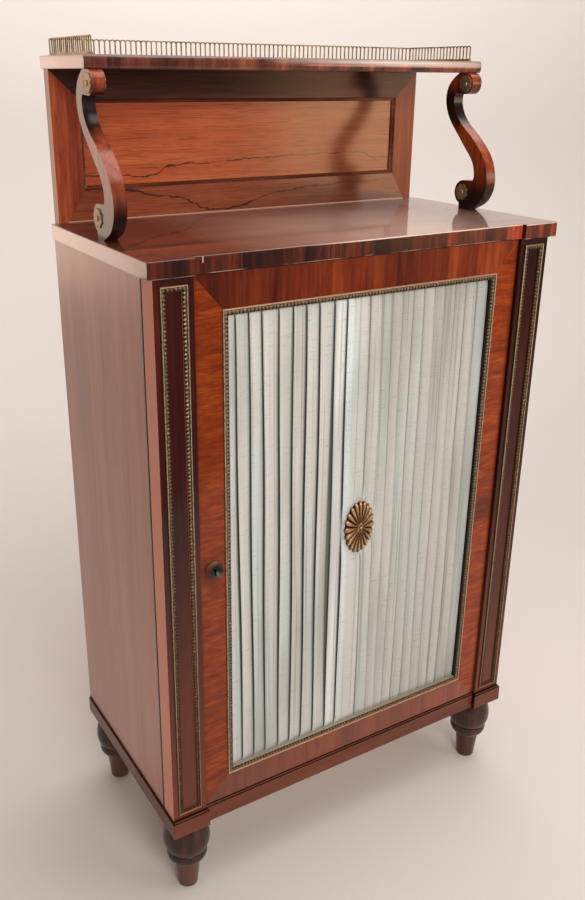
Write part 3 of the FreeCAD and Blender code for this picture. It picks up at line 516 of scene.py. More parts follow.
# The left pilaster's faces that look left get a pale painted light.
dress(rosewood("pilaster_left", "z", maroon, 3.0, coat=0.5, stain_or_shade=(toward_foot, 0.35, linear(150, 78, 54)),
               lit_left=linear(230, 140, 110)), "pilaster_left")
dress(rosewood("pilaster_right", "z", deep_maroon, 3.5, coat=0.4,
               stain_or_shade=(toward_foot, 0.4, linear(140, 76, 54))), "pilaster_right")
# Painted shade darkens the back stile on the right, away from the light.
dress(rosewood("back_stiles", "z", back_brown, 8.0, 34.0, 260.0, gloss=0.2, coat=0.45,
               stain_or_shade=(right_hand, 0.55, linear(70, 26, 13))), "upper_back_stile")
dress(rosewood("back_top_rail", "x", back_top_shaded, 9.0, gloss=0.2, coat=0.4), "upper_back_rail_top")
dress(rosewood("back_bead", "x", bead_brown, 9.5), "upper_back_bead")
dress(rosewood("plinth", "x", plinth_brown, 5.0, contrast=0.7, gloss=0.2, haze=0.1, coat=0.4,
               painted_shade=ledge_shade), "plinth_front plinth_left plinth_right")
dress(rosewood("feet", "z", foot_brown, 6.0, 30.0, haze=0.06, coat=0.6,
               stain_or_shade=(foot_taper, 0.6, linear(112, 72, 54)), painted_shade=foot_shade), "foot")
dress(rosewood("brackets", "z", scroll_brown, 7.0, 34.0, gloss=0.2, haze=0.1, coat=0.6,
               stain_or_shade=(bracket_figure, 0.97, linear(22, 9, 7))), "bracket_left bracket_right")
print("dressed in rosewood so far:", len(dressed), "pieces")

# %% [markdown]
# The panel of the upper back is the showpiece: straight-grained, full of short
# dark pores, with a black vein wandering across it and another across the rail
# below.  A vein is a line drawn with a float curve, height against length;
# noise makes it tremble and gives it thick and thin stretches.

# %% The figured panel and rail with their veins
VEIN_LEFT, VEIN_REACH = -0.30, 0.60
VEIN_FOOT, VEIN_RISE = 0.90, 0.20
RAIL_JOINT = 0.9224


def vein(tree, points, width, seed):
    """1 on a wandering line through (x, z) points, 0 away from it."""
    x, _, z = place_of(tree)
    share = math_node(tree, "DIVIDE", math_node(tree, "SUBTRACT", x, VEIN_LEFT), VEIN_REACH)
    curve = add(tree, "FloatCurve", {"Value": share})
    line = curve.mapping.curves[0]
    for number, (along, height) in enumerate(points):
        at = ((along - VEIN_LEFT) / VEIN_REACH, (height - VEIN_FOOT) / VEIN_RISE)
        if number < 2:
            line.points[number].location = at
        else:
            line.points.new(*at)
    curve.mapping.update()
    tremble = noise(tree, stretched(tree, "x", 0.5, (seed, seed, seed)), 110.0, 3.0)
    height = plus(tree, scaled(tree, curve.outputs[0], VEIN_RISE, VEIN_FOOT),
                  scaled(tree, tremble, 0.010, -0.005))
    away = math_node(tree, "ABSOLUTE", math_node(tree, "SUBTRACT", z, height))
    swell = noise(tree, stretched(tree, "x", 0.5, (seed, 0.0, seed)), 40.0)
    thick = scaled(tree, swell, width * 2.4, -width * 0.5)
    return fade(tree, math_node(tree, "DIVIDE", away, thick), 1.0, 0.35)


def figured(name, tones, seed, points, width, number):
    material, tree, shader = wood_finish(name, 0.17)
    colour, texture = grain_colour(tree, "x", tones, seed, 60.0, 340.0, 0.4, 0.03)
    pore = noise(tree, stretched(tree, "x", 0.02, (seed, seed, seed)), 700.0)
    colour = stained(tree, colour, ramp(tree, pore, (0.56, 0), (0.64, 1)), 0.5, linear(76, 30, 17))
    x, _, z = place_of(tree)
    # Redder on the left; painted shade darkens the right-hand part of the panel and rail.
    redder_left_shaded_right = ramp(tree, plus(tree, x, 0.5), (0.26, (0.86, 0.64, 0.58)), (0.42, (0.88, 0.78, 0.76)),
                    (0.62, (0.46, 0.42, 0.42)), (0.76, (0.40, 0.40, 0.42)))
    colour = multiplied(tree, colour, redder_left_shaded_right)
    colour = stained(tree, colour, vein(tree, points, width, number), 0.85, linear(26, 13, 10))
    colour = stained(tree, colour, below(tree, z, RAIL_JOINT), 0.7, linear(206, 160, 138))
    polish(tree, shader, colour, texture)
    return material


upper_vein = [(-0.300, 0.977), (-0.201, 0.979), (-0.168, 0.975), (-0.147, 0.981), (-0.134, 0.987),
              (-0.071, 0.991), (0.101, 0.996), (0.203, 0.995), (0.222, 0.989), (0.262, 0.987)]
lower_vein = [(-0.300, 0.962), (-0.198, 0.959), (-0.151, 0.949), (-0.120, 0.945), (-0.096, 0.934),
              (-0.072, 0.926), (-0.022, 0.928), (0.030, 0.941), (0.139, 0.951), (0.300, 0.953)]
panel_brown = palette((122, 54, 28), (190, 100, 58), (216, 132, 80))
low_rail_brown = palette((84, 36, 22), (146, 76, 46), (178, 104, 64))
dress(figured("panel", panel_brown, 4.0, upper_vein, 0.0017, 1.0), "upper_back_panel")
dress(figured("back_low_rail", low_rail_brown, 4.6, lower_vein, 0.0020, 2.0), "upper_back_rail_bottom")
print("veins drawn with", len(upper_vein), "and", len(lower_vein), "points")

# %% [markdown]
# ### Crossbanding
# The front edges of the slab and the shelf, and the door's rails, are veneered
# with the grain upright, in short leaves laid side by side.  Each leaf came
# from another place in the log, so the tone jumps from one to the next.  A
# Voronoi texture in one dimension gives every leaf its own random number and a
# width of its own.  The door's rails carry painted shade at their left end, away
# from the light, and painted light at their right end; the bottom rail is
# painted paler for the pale floor it reflects, and the sill's upward face gets
# painted light.

# %% Crossbanded rails
SILL = (0.1950, 0.1960)


def crossbanded(tree, tones, seed, per_metre, jump):
    """Upright grain in leaves along X, each a little darker or lighter."""
    colour, texture = grain_colour(tree, "z", tones, seed, figure=26.0)
    links = {"W": plus(tree, place_of(tree)[0], seed), "Scale": per_metre, "Randomness": 0.9}
    cells = add(tree, "TexVoronoi", links, voronoi_dimensions="1D")
    number = add(tree, "SeparateColor", {0: cells.outputs["Color"]}).outputs[0]
    shade = ramp(tree, number, (0.0, 1 - jump), (0.5, 1),
                 (1.0, (1 + 0.5 * jump, 1 + 0.4 * jump, 1 + 0.3 * jump)))
    return multiplied(tree, colour, shade), texture


def rail(name, tones, seed, per_metre, jump):
    material, tree, shader = wood_finish(name, coat=0.6)
    colour, texture = crossbanded(tree, tones, seed, per_metre, jump)
    x, _, z = place_of(tree)
    # Painted light across the rail: painted shade to the left, painted light to the right.
    painted_light = ramp(tree, plus(tree, x, 0.5), (0.24, (0.40, 0.34, 0.30)), (0.42, (0.84, 0.80, 0.78)),
                  (0.74, (1.15, 1.1, 1.0)))
    # Painted reflection: the bottom rail is paler, for the veil of the pale floor.
    colour = stained(tree, multiplied(tree, colour, painted_light), below(tree, z, 0.2), 0.25, linear(150, 104, 86))
    # Painted shade on the reveal and in the keyhole.
    colour = mix(tree, reveal_shade(tree), colour, SHADE_DARK)
    # Painted light on the sill's upward face.
    sill = both(tree, between(tree, z, *SILL, 0.0001), above(tree, facing_of(tree)[2], 0.5))
    polish(tree, shader, mix(tree, sill, colour, linear(150, 140, 122)), texture)
    return material


deep_red = palette((68, 20, 9), (116, 42, 17), (146, 66, 29))
dress(rail("rails", deep_red, 11.0, per_metre=14.0, jump=0.2), "door_rail")
print("the sill is", round(1000 * (SILL[1] - SILL[0]), 1), "mm high")

# %% [markdown]
# The slab and the shelf are boards with two cuts of wood: long grain on top and
# crossbanding on their edges, told apart by the way a face looks.  The top has
# a painted sheen in patches, partly the bloom of worn polish.  The edges get
# painted light towards the right, a painted highlight along the front arris,
# painted shade on the left-hand return of the right block and painted light on
# the left end.  The slab has one chip in its edge and pale lines under it and
# along its back joint.

# %% Painted highlights and other marks on the boards
SLAB_CHIP = (-0.2397, -0.2386)


def slab_arris_highlight(tree, x, z):
    """Painted highlight along the top front arris of the slab, towards the right."""
    return times(tree, above(tree, z, 0.9195), between(tree, x, -0.06, 0.31, 0.04))


def shelf_edge_highlight(tree, x, z):
    """Painted highlight on the upper half of the shelf's front edge, where it turns to the light."""
    return times(tree, between(tree, z, 1.1225, 1.1275, 0.0022), between(tree, x, 0.03, 0.31, 0.10))


def slab_pale_lines(tree):
    """Pale lines, in patches, along the slab's lower front edge and its back joint."""
    _, y, z = place_of(tree)
    low = both(tree, between(tree, z, 0.9008, 0.9019, 0.0002), below(tree, y, -0.1560))
    streak_noise = noise(tree, stretched(tree, "x", 0.4), 60.0, 3.0)
    patches = ramp(tree, streak_noise, (0.45, 0), (0.6, 1))
    return both(tree, either(tree, low, above(tree, y, 0.1458)), patches, 0.5)


print("the chip is", round(1000 * (SLAB_CHIP[1] - SLAB_CHIP[0]), 1), "mm wide")


# %% Board finishes
def banded_board(name, edge_tones, seed, per_metre, painted_highlight, arris, painted_light, haze_and_sheen_most=0.0, pale_lines=None,
                 chipped=None):
    """Board with its grain along X on the top and crossbanding on its edges."""
    material, tree, shader = wood_finish(name, 0.05, 0.3)
    top, texture = grain_colour(tree, "x", board_top, seed, figure=20.0)
    edge, _ = crossbanded(tree, edge_tones, seed + 1, per_metre, jump=0.6)
    x, _, z = place_of(tree)
    # Painted light: the edge grows paler towards the right.
    painted_sheen = fade(tree, x, -0.12, 0.30, 0.0, painted_light)
    edge = mix(tree, painted_sheen, edge, multiplied(tree, edge, (5.2, 4.2, 3.6, 1.0)))
    if chipped:
        chip = both(tree, between(tree, x, *chipped, 0.0003), above(tree, z, 0.9135))
        edge = mix(tree, chip, edge, linear(216, 188, 172))
    # Painted highlight along the arris.
    edge = stained(tree, edge, painted_highlight(tree, x, z), 0.85, linear(236, 218, 206))
    # Painted shade on the left-hand return of the right block.
    edge = mix(tree, inner_return(tree), edge, SHADE_DARK)
    # Painted light on the board's left end, for the sheen it catches.
    lit_end = both(tree, left_return(tree), below(tree, x, -0.29))
    edge = mix(tree, lit_end, edge, linear(92, 44, 28))
    # A painted sheen in patches on the top, partly the bloom of worn polish.
    haze_sheen_noise = noise(tree, stretched(tree, "x", 0.5), 9.0, 3.0)
    haze_and_sheen = times(tree, ramp(tree, plus(tree, x, 0.5), (0.30, 0), (0.46, 1), (0.60, 1), (0.72, 0.4)),
                    scaled(tree, haze_sheen_noise, 1.2 * haze_and_sheen_most, 0.4 * haze_and_sheen_most))
    top = mix(tree, haze_and_sheen, top, linear(206, 166, 146))
    flat = above(tree, math_node(tree, "ABSOLUTE", facing_of(tree)[2]), 0.6)
    colour = mix(tree, flat, edge, top)
    if pale_lines:
        colour = mix(tree, pale_lines(tree), colour, linear(214, 190, 170))
    drive(tree, shader, roughness=scaled(tree, flat, 0.32, 0.2))
    polish(tree, shader, colour, texture, 0.00004, arris)
    return material


board_top = palette((42, 14, 8), (82, 29, 17), (120, 50, 30))
slab_edge = palette((17, 6, 4), (44, 15, 9), (96, 38, 21))
shelf_edge = palette((50, 22, 16), (100, 48, 34), (142, 78, 56))
dress(banded_board("slab", slab_edge, 12.0, 70.0, slab_arris_highlight, 0.0022, 1.0, 0.72, slab_pale_lines, SLAB_CHIP),
      "top_slab")
dress(banded_board("shelf", shelf_edge, 14.0, 55.0, shelf_edge_highlight, 0.0060, 0.1), "upper_shelf")
print("dressed in rosewood:", len(dressed), "pieces")

# %% [markdown]
# ## Brass, deal and steel
# The ornament is lacquered brass with a brown patina.  Cast pieces carry a number
# called relief on each point, which says how high it stands; it sets painted
# shade in their hollows and painted highlights on their crests, and the
# mouldings' upward faces get painted light.  The inside of the cupboard is plain
# deal, a pale softwood, and the lock is bright steel.

# %% Brass finishes
def aged_brass(name, bright, dull, roughness, metal=1.0):
    material, tree, shader = fresh("brass_" + name, metallic=metal)
    cloud = noise(tree, object_space(tree), 60.0, 4.0, 0.65)
    speck = noise(tree, object_space(tree), 700.0)
    amount = scaled(tree, speck, 0.5, scaled(tree, cloud, 0.9, -0.2))
    drive(tree, shader, base_color=ramp(tree, amount, (0.3, dull), (0.62, bright)),
          roughness=scaled(tree, speck, 0.3, roughness - 0.12), normal=bumps(tree, speck, 0.00006))
    return material


def cast_brass(name, tones, roughness, uneven, lit_top_dull_foot=0.0):
    """Cast ornament, by relief: painted shade and patina black in the low places, painted highlights pale on
    the crests.
    """
    material, tree, shader = fresh("brass_" + name, metallic=0.6, roughness=roughness)
    relief = add(tree, "Attribute", attribute_name="relief").outputs["Fac"]
    cloud = noise(tree, object_space(tree), 420.0, 3.0, 0.6)
    level = scaled(tree, cloud, uneven, math_node(tree, "SUBTRACT", relief, 0.53 * uneven))
    # Painted shade in the low places and painted highlights on the crests, by relief.
    colour = ramp(tree, level, *zip((0.08, 0.30, 0.66, 0.92), tones))
    if lit_top_dull_foot:
        # Painted light on faces that look up.
        colour = stained(tree, colour, above(tree, facing_of(tree)[2], 0.5), 0.8, linear(196, 148, 108))
        # Duller and browner towards a pilaster's foot.
        colour = mix(tree, times(tree, toward_foot(tree), lit_top_dull_foot), colour,
                     multiplied(tree, colour, (0.5, 0.38, 0.30, 1.0)))
    drive(tree, shader, base_color=colour, normal=bumps(tree, cloud, 0.0001))
    return material


dress(aged_brass("gallery", linear(160, 142, 106), linear(92, 78, 54), 0.4),
      "gallery rosette_nut pivot")
dress(aged_brass("flowers", linear(176, 158, 118), linear(74, 58, 38), 0.42, 0.6),
      "bracket_rosettes")
moulding_tones = palette((44, 31, 22), (84, 66, 48), (140, 122, 96), (214, 200, 174))
browned_tones = palette((36, 20, 13), (68, 45, 32), (122, 98, 74), (206, 186, 154))
gilt_tones = palette((36, 18, 9), (80, 48, 26), (136, 96, 62), (204, 170, 124))
moulding_brass = cast_brass("mouldings", moulding_tones, 0.42, 1.2, 0.15)
pilaster_brass = cast_brass("pilaster_mouldings", browned_tones, 0.42, 1.2, 0.9)
gilt_bronze = cast_brass("rosette", gilt_tones, 0.34, 0.6)
print("brass finishes:", len([m for m in bpy.data.materials if m.name.startswith("brass")]))

# %% Keyhole ring, deal and steel
KEY_RING_RADIUS = 0.0125


def ring_bronze():
    """The keyhole ring: black painted shade in the hole, a dark brown dish, and a rim painted paler as a
    highlight.
    """
    material, tree, shader = fresh("brass_escutcheon", metallic=0.1, roughness=0.45)
    low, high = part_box("keyhole_escutcheon")
    away = add(tree, "VectorMath", {0: object_space(tree), 1: tuple((low + high) / 2)}, operation="SUBTRACT")
    flat = add(tree, "VectorMath", {0: away.outputs[0], 1: (1.0, 0.0, 1.0)}, operation="MULTIPLY")
    radius = add(tree, "VectorMath", {0: flat.outputs[0]}, operation="LENGTH").outputs["Value"]
    share = math_node(tree, "DIVIDE", radius, KEY_RING_RADIUS)
    # Painted shade in the hole and dish, a painted highlight on the rim, by distance from the middle.
    drive(tree, shader, base_color=ramp(tree, share, (0.50, linear(9, 5, 4)), (0.64, linear(44, 22, 16)),
                                        (0.86, linear(70, 34, 23)), (0.98, linear(124, 78, 58))))
    return material


def deal(cut, grain, seed):
    material, tree, shader = fresh("deal_" + cut, roughness=0.75)
    straw = palette((132, 96, 60), (176, 138, 92), (204, 170, 122))
    colour, texture = grain_colour(tree, grain, straw, seed, figure=30.0)
    polish(tree, shader, colour, texture, 0.0002)
    return material


dress(ring_bronze(), "keyhole_escutcheon")
dress(deal("upright", "z", 21.0), "back_boards door_backboard")
dress(deal("level", "x", 22.0), "plinth_back bottom inner_shelf top_rail door_fillets")
dress(deal("deep", "y", 23.0), "corner_blocks shelf_bearer bracket_dowels")
steel, tree, shader = fresh("lock_steel", metallic=1.0)
brushing = noise(tree, stretched(tree, "x", 0.05), 900.0)
drive(tree, shader, roughness=scaled(tree, brushing, 0.2, 0.25),
      base_color=ramp(tree, brushing, (0.3, linear(120, 116, 112)), (0.7, linear(168, 164, 158))))
dress(steel, "bearer_screws slab_screws lock")
print("dressed", len(dressed), "of", len(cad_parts))

# %% [markdown]
# ## The pleated silk
# The door is glazed with silk instead of glass: one width of cloth, laid in
# knife pleats and tacked behind the frame at top and bottom.  From a wide
# middle fold the pleats lie to the left on the left and to the right on the
# right, so one half shows its open folds and the other only soft lines.  The
# cloth is made the way the upholsterer does it: a flat sheet, marked out and
# folded.  Each pleat is a face, a folded edge, the cloth returning behind it and
# an inner fold.

# %% Where the folds lie
silk_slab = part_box("door_silk")
CLEARANCE = 0.0006
SILK_LEFT, SILK_RIGHT = silk_slab[0].x + CLEARANCE, silk_slab[1].x - CLEARANCE
SILK_LOW, SILK_HIGH = silk_slab[0].z + CLEARANCE, silk_slab[1].z - CLEARANCE
SILK_FLAT = silk_slab[1].y - CLEARANCE - 0.0013
SILK_FRONT = silk_slab[0].y + 0.0002
INNER_FOLD = SILK_FLAT + 0.0002
OPENING = 0.2055
MIDDLE_LEFT, MIDDLE_RIGHT = -0.0307, 0.0023
OVERLAP = 0.0070
left_folds = [-0.1938, -0.1749, -0.1559, -0.1322, -0.1121, -0.0927, -0.0726, -0.0496]
right_folds = [0.0223, 0.0396, 0.0560, 0.0731, 0.0917, 0.1106, 0.1281, 0.1457, 0.1636, 0.1836]
print("silk slab", [round(c * 1000, 1) for c in (*silk_slab[0], *silk_slab[1])])


# %% How a fold hangs
def eased(t):
    t = min(max(t, 0.0), 1.0)
    return t * t * (3 - 2 * t)


def drift(x, share):
    """How far a fold wanders sideways, at a share of the height from the foot."""
    down = 1 - share
    lean = (0.0085 if x < -0.05 else 0.0045) * down * abs(x) / OPENING + 0.004 * down * eased(1 - abs(x) / 0.12)
    return lean + 0.0007 * math.sin(9.0 * share + 70.0 * x)


def lip_of(x, share):
    """The y of a folded edge: it stands forward least where the cloth is tacked."""
    belly = math.sin(math.pi * share) ** 0.6
    deep = 1.0 + 0.14 * math.sin(210.0 * x + 3.0 * share)
    return SILK_FLAT - (0.0029 + 0.0017 * belly * deep)


def gape(edge, share):
    """How wide a slit stands open below its lip, beyond what its depth shows."""
    belly = math.sin(math.pi * min(share * 1.1, 1.0)) ** 1.2
    wide = 0.0044 if edge == left_folds[-1] else 0.0006 + 0.0004 * math.sin(900.0 * edge)
    return wide * belly


def tucked(edge, side, lip):
    """The cloth that returns behind a folded edge, to its inner fold on one side."""
    behind = edge + side * OVERLAP
    return [(edge - side * 0.0001, lip + 0.0008, 0.5), (edge + side * 0.0012, lip + 0.0013, 1.0),
            (edge + side * 0.55 * OVERLAP, (INNER_FOLD + lip) / 2 + 0.0001, 1.0),
            (behind, INNER_FOLD - 0.0009, 1.0), (behind + side * 0.0003, INNER_FOLD - 0.0005, 1.0)]


print("lip stands forward", round(1000 * (SILK_FLAT - lip_of(0.0, 0.5)), 2), "mm at mid-height")

# %% Fold the cloth at one height
LEFT_SHADOWS = (0.0, 0.08, 0.2, 0.22, 0.30, 0.85, 1.0)
RIGHT_SHADOWS = ((0.0, 1.0), (0.27, 0.98), (0.34, 0.66), (0.40, 0.36), (0.50, 0.27), (0.85, 0.21), (1.0, 0.14))
MIDDLE_STEPS = 8


def bulge(t, most):
    return most * math.sin(math.pi * t)


def pleat_path(share):
    """(x, y, shadow) of the cloth at one height, from its left edge to its right."""
    path = [(SILK_LEFT, SILK_FLAT, 0.2), (-OPENING - 0.003, SILK_FLAT, 0.2),
            (-OPENING + 0.0004, SILK_FLAT - 0.0012, 0.2)]
    start = -OPENING + 0.0022
    for mark in left_folds + [MIDDLE_LEFT]:
        edge, front = mark + drift(mark, share), lip_of(start, share)
        opens = edge - gape(mark, share)
        places = (start, start + 0.0016, start + 0.35 * (opens - start), start + 0.72 * (opens - start),
                  opens - 0.0016, opens, edge + OVERLAP)
        for x, shadow in zip(places, LEFT_SHADOWS):
            t = min(1.0, (x - start) / (opens + 0.0004 - start))
            path.append((x, front + (INNER_FOLD - front) * t ** 1.5 - bulge(t, 0.0004), shadow))
        path += tucked(edge, 1, lip_of(edge, share))[::-1]
        start = edge
    rights = [x + drift(x, share) for x in [MIDDLE_RIGHT] + right_folds]
    front = lip_of(start, share)
    for i in range(MIDDLE_STEPS + 1):
        t = i / MIDDLE_STEPS
        path.append((start + (rights[0] - start) * t, front - bulge(t, 0.0006) + 0.0004, 0.2 * min(1.0, 4 * t)))
    for left, edge in zip(rights, rights[1:] + [OPENING - 0.0012]):
        path += tucked(left, -1, lip_of(left, share))
        begin, front = left - OVERLAP, lip_of(edge, share)
        for t, shadow in RIGHT_SHADOWS:
            y = INNER_FOLD + (front - INNER_FOLD) * t ** 0.8 - bulge(t, 0.0004)
            path.append((begin + (edge - begin) * t, y, shadow))
    return path + [(OPENING - 0.0004, SILK_FLAT - 0.0008, 0.9), (OPENING + 0.003, SILK_FLAT, 1.0),
                   (SILK_RIGHT, SILK_FLAT, 1.0)]


middle_path = pleat_path(0.5)
travelled = [0.0]
for one, two in zip(middle_path, middle_path[1:]):
    travelled.append(travelled[-1] + math.dist(one[:2], two[:2]))
CLOTH_WIDTH = travelled[-1]
CLOTH_LENGTH = SILK_HIGH - SILK_LOW
print("cloth cut", round(CLOTH_WIDTH, 3), "by", round(CLOTH_LENGTH, 3), "m,", len(middle_path), "columns")

# %% [markdown]
# The flat sheet is a grid.  Each row of it is laid along the folded path at its
# own height and pressed flat under the rosette, and the sheet is given its
# thickness.  Its UV map keeps the flat cloth's measure, so the weave follows
# the cloth round its folds, and a number painted on each point says how deep
# in a fold it lies.

# %% Lay the sheet into its folds
ROSETTE_HEIGHT = 0.5206
PRESS_REACH = (0.0258, 0.0406)
TACKED = 0.0075
ROWS = 44


def silk_sheet():
    bm = bmesh.new()
    uv = bm.loops.layers.uv.new("UVMap")
    shadow_layer = bm.verts.layers.float.new("fold_shadow")
    bmesh.ops.create_grid(bm, x_segments=len(middle_path) - 1, y_segments=ROWS, size=0.5)
    rows = {}
    for vert in bm.verts:
        rows.setdefault(round((vert.co.y + 0.5) * ROWS), []).append(vert)
    flat_place = {}
    for number, verts in rows.items():
        share = number / ROWS
        z = SILK_LOW + CLOTH_LENGTH * share
        in_order = sorted(verts, key=lambda v: v.co.x)
        for vert, (x, y, shadow), run in zip(in_order, pleat_path(share), travelled):
            oval = math.hypot(x / PRESS_REACH[0], (z - ROSETTE_HEIGHT) / PRESS_REACH[1])
            pressed = eased((1.45 - oval) / 0.45)
            y += (max(y, SILK_FLAT - 0.0021) - y) * pressed
            if abs(z - (SILK_LOW + SILK_HIGH) / 2) > CLOTH_LENGTH / 2 - TACKED:
                y = max(y, SILK_FLAT - 0.0004)
            vert.co = (x, max(y, SILK_FRONT), z)
            vert[shadow_layer] = shadow + (0.2 - shadow) * pressed
            flat_place[vert] = (run / CLOTH_WIDTH, share)
    for face in bm.faces:
        for loop in face.loops:
            loop[uv].uv = flat_place[loop.vert]
    outward(bm)
    front = [f for f in bm.faces if abs(f.calc_center_median().x) < 0.01]
    if sum(f.normal.y for f in front) > 0:
        bmesh.ops.reverse_faces(bm, faces=bm.faces)
    return bm


silk = to_object(silk_sheet(), "pleated_silk", smooth=True)
thick = silk.modifiers.new("cloth", "SOLIDIFY")
thick.thickness = 0.00025
thick.offset = -1.0
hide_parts("door_silk")
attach(silk, "door")
print("silk faces:", len(silk.data.polygons))

# %% [markdown]
# The silk is a pale grey-green, with slubs: threads that swell here and there
# and lie across the cloth as short darker lines.  All of this is drawn in the
# sheet's own UV space, in metres of flat cloth.

# %% Silk, its weave, and painted light and shade on its soft folds and creases
silk_finish, tree, shader = fresh("silk_cloth", roughness=0.72, sheen_weight=0.35, sheen_roughness=0.4)
flat_cloth = mapped(tree, add(tree, "UVMap", uv_map="UVMap").outputs["UV"], (CLOTH_WIDTH, CLOTH_LENGTH, 1.0))


def cloth_noise(across, along, detail, roughness=0.5):
    """Noise with so many swells to a metre across the cloth and along it."""
    return noise(tree, mapped(tree, flat_cloth, (across, along, 1.0)), 1.0, detail, roughness)


SLUBS = 900.0
slub = cloth_noise(45.0, SLUBS, 2.0, 0.6)
thread = cloth_noise(1300.0, 60.0, 2.0)
colour = ramp(tree, cloth_noise(26.0, 1.6, 1.0), (0.36, linear(197, 202, 200)), (0.50, linear(203, 201, 196)),
              (0.64, linear(206, 200, 197)))
# Painted light: paler soft bands where the cloth's gentle folds face the light.
fold_light = ramp(tree, cloth_noise(150.0, 3.0, 2.0), (0.35, 0), (0.75, 0.22))
colour = mix(tree, fold_light, colour, linear(226, 230, 228))
colour = stained(tree, colour, thread, 0.3, linear(226, 226, 218))
colour = stained(tree, colour, ramp(tree, slub, (0.60, 0), (0.74, 1)), 0.6, linear(112, 106, 92))
# Painted shade in narrow creases.
crease_shade = ramp(tree, cloth_noise(310.0, 2.4, 1.5), (0.56, 0), (0.66, 0.42))
colour = mix(tree, crease_shade, colour, linear(120, 114, 98))
print("slubs follow each other every", round(1000 / SLUBS, 2), "mm")

# %% [markdown]
# Light falls from the left, so the wide middle fold stands in it and the cloth
# to its right turns away; this is painted light and shade, paler towards the
# top.  The folds get painted shade inwards by the number that was painted on
# the sheet, with a painted highlight on each folded edge, and a few broad
# hollows that hang unevenly get painted shade too.

# %% Silk, its folds and its light
fold_shadow = add(tree, "Attribute", attribute_name="fold_shadow").outputs["Fac"]
# Painted shade deeper in each fold, with a painted highlight along its folded edge.
colour = multiplied(tree, colour, ramp(tree, fold_shadow, (0.0, (1.05, 1.06, 1.06)), (0.2, 1),
                                       (0.45, (0.60, 0.59, 0.55)), (1.0, (0.055, 0.045, 0.035))))
x, _, z = place_of(tree)
# Painted light on the wide middle fold, painted shade on the cloth to its right.
shade = ramp(tree, plus(tree, x, 0.5), (0.30, 0.90), (0.452, 0.88), (0.457, (1.14, 1.18, 1.22)),
             (0.474, (1.12, 1.16, 1.20)), (0.484, (0.92, 0.92, 0.91)), (0.55, (0.86, 0.845, 0.84)),
             (0.70, (0.80, 0.78, 0.775)))
# Painted light, paler towards the top.
lit = ramp(tree, z, (0.20, 0.92), (0.86, 1.06))
colour = multiplied(tree, colour, multiplied(tree, shade, lit))
hanging = mapped(tree, object_space(tree), (17.0, 1.0, 3.2))
# Painted shade in a few broad hollows.
hollow_shade = ramp(tree, noise(tree, hanging, 1.0), (0.5, 0), (0.68, 0.42))
colour = mix(tree, hollow_shade, colour, linear(128, 132, 118))
drive(tree, shader, base_color=colour, normal=bumps(tree, plus(tree, slub, thread), 0.0002, 0.35))
silk.data.materials.append(silk_finish)
print("silk finish on", silk.name)

# %% [markdown]
# ## Cast brass mouldings
# A strip of cast brass frames the silk and the sunk panel of each pilaster: a
# plain rounded edge outside, and a row of little leaves inside it whose tips
# point to the opening.  Each point of the edge's section becomes a loop with
# four corners, and the loops are bridged, so the corners come out mitred.

# %% One leaf and one band
LEAF_PITCH = 0.00504
LEAF_WIDTH, ROOT_HEIGHT, TIP_HEIGHT = 0.0049, 0.0021, 0.0016


def corners_of(box, inset=0.0):
    """The corners of a box's outline as seen from the front, in turn."""
    low, high = box
    return [(low.x + inset, low.z + inset), (high.x - inset, low.z + inset),
            (high.x - inset, high.z - inset), (low.x + inset, high.z - inset)]


def mitred_band(bm, box, section):
    """Carry a section round a box's outline.  Section points are (inset, height)."""
    loops = []
    for inset, height in section:
        verts = [bm.verts.new((x, box[1].y - height, z)) for x, z in corners_of(box, inset)]
        loops.append([bm.edges.new((verts[i], verts[(i + 1) % 4])) for i in range(4)])
    for one, two in zip(loops, loops[1:] + loops[:1]):
        bmesh.ops.bridge_loops(bm, edges=one + two)


def leaf_mesh(length):
    """A short pointed leaf with a raised rib, growing along +Y from the origin."""
    bm = bmesh.new()
    made = bmesh.ops.create_circle(bm, cap_ends=True, segments=8, radius=1.0)
    for vert in made["verts"]:
        t = (vert.co.y + 1) / 2
        side = 0.0 if abs(vert.co.x) < 0.01 else math.copysign(1.0, vert.co.x)
        vert.co.x = 0.5 * LEAF_WIDTH * side * (1 - t ** 2.2)
        vert.co.y = length * t
        vert.co.z = ROOT_HEIGHT * 0.62 + (TIP_HEIGHT * 0.6 - ROOT_HEIGHT * 0.62) * t
    bmesh.ops.poke(bm, faces=list(bm.faces), offset=ROOT_HEIGHT * 0.30, center_mode="MEAN")
    skirt = bmesh.ops.extrude_edge_only(bm, edges=[e for e in bm.edges if e.is_boundary])
    for vert in [g for g in skirt["geom"] if isinstance(g, bmesh.types.BMVert)]:
        vert.co.z = 0.0
    outward(bm)
    mesh = bpy.data.meshes.new("leaf")
    bm.to_mesh(mesh)
    bm.free()
    return mesh


def plant(bm, mesh, place):
    """Copy a small mesh into bm and put it in place."""
    start = len(bm.verts)
    bm.from_mesh(mesh)
    bm.verts.ensure_lookup_table()
    bmesh.ops.transform(bm, matrix=place, verts=bm.verts[start:])


def leaf_row(bm, mesh, box, inset):
    """Leaves along the four sides of a box's outline, pointing inwards."""
    corners = corners_of(box)
    planted = 0
    for (ax, az), (bx, bz) in zip(corners, corners[1:] + corners[:1]):
        run = math.hypot(bx - ax, bz - az)
        grow, out = Vector((az - bz, 0, bx - ax)) / run, Vector((0, -1, 0))
        turned = Matrix((grow.cross(out), grow, out)).transposed().to_4x4()
        count = round((run - 2 * inset) / LEAF_PITCH)
        for i in range(count):
            t = (inset + (run - 2 * inset) * (i + 0.5) / count) / run
            place = Vector((ax + (bx - ax) * t, box[1].y, az + (bz - az) * t)) + grow * inset
            plant(bm, mesh, Matrix.Translation(place) @ turned)
        planted += count
    return planted


leaf, short_leaf = leaf_mesh(0.0057), leaf_mesh(0.0048)
print("leaf faces:", len(leaf.polygons))

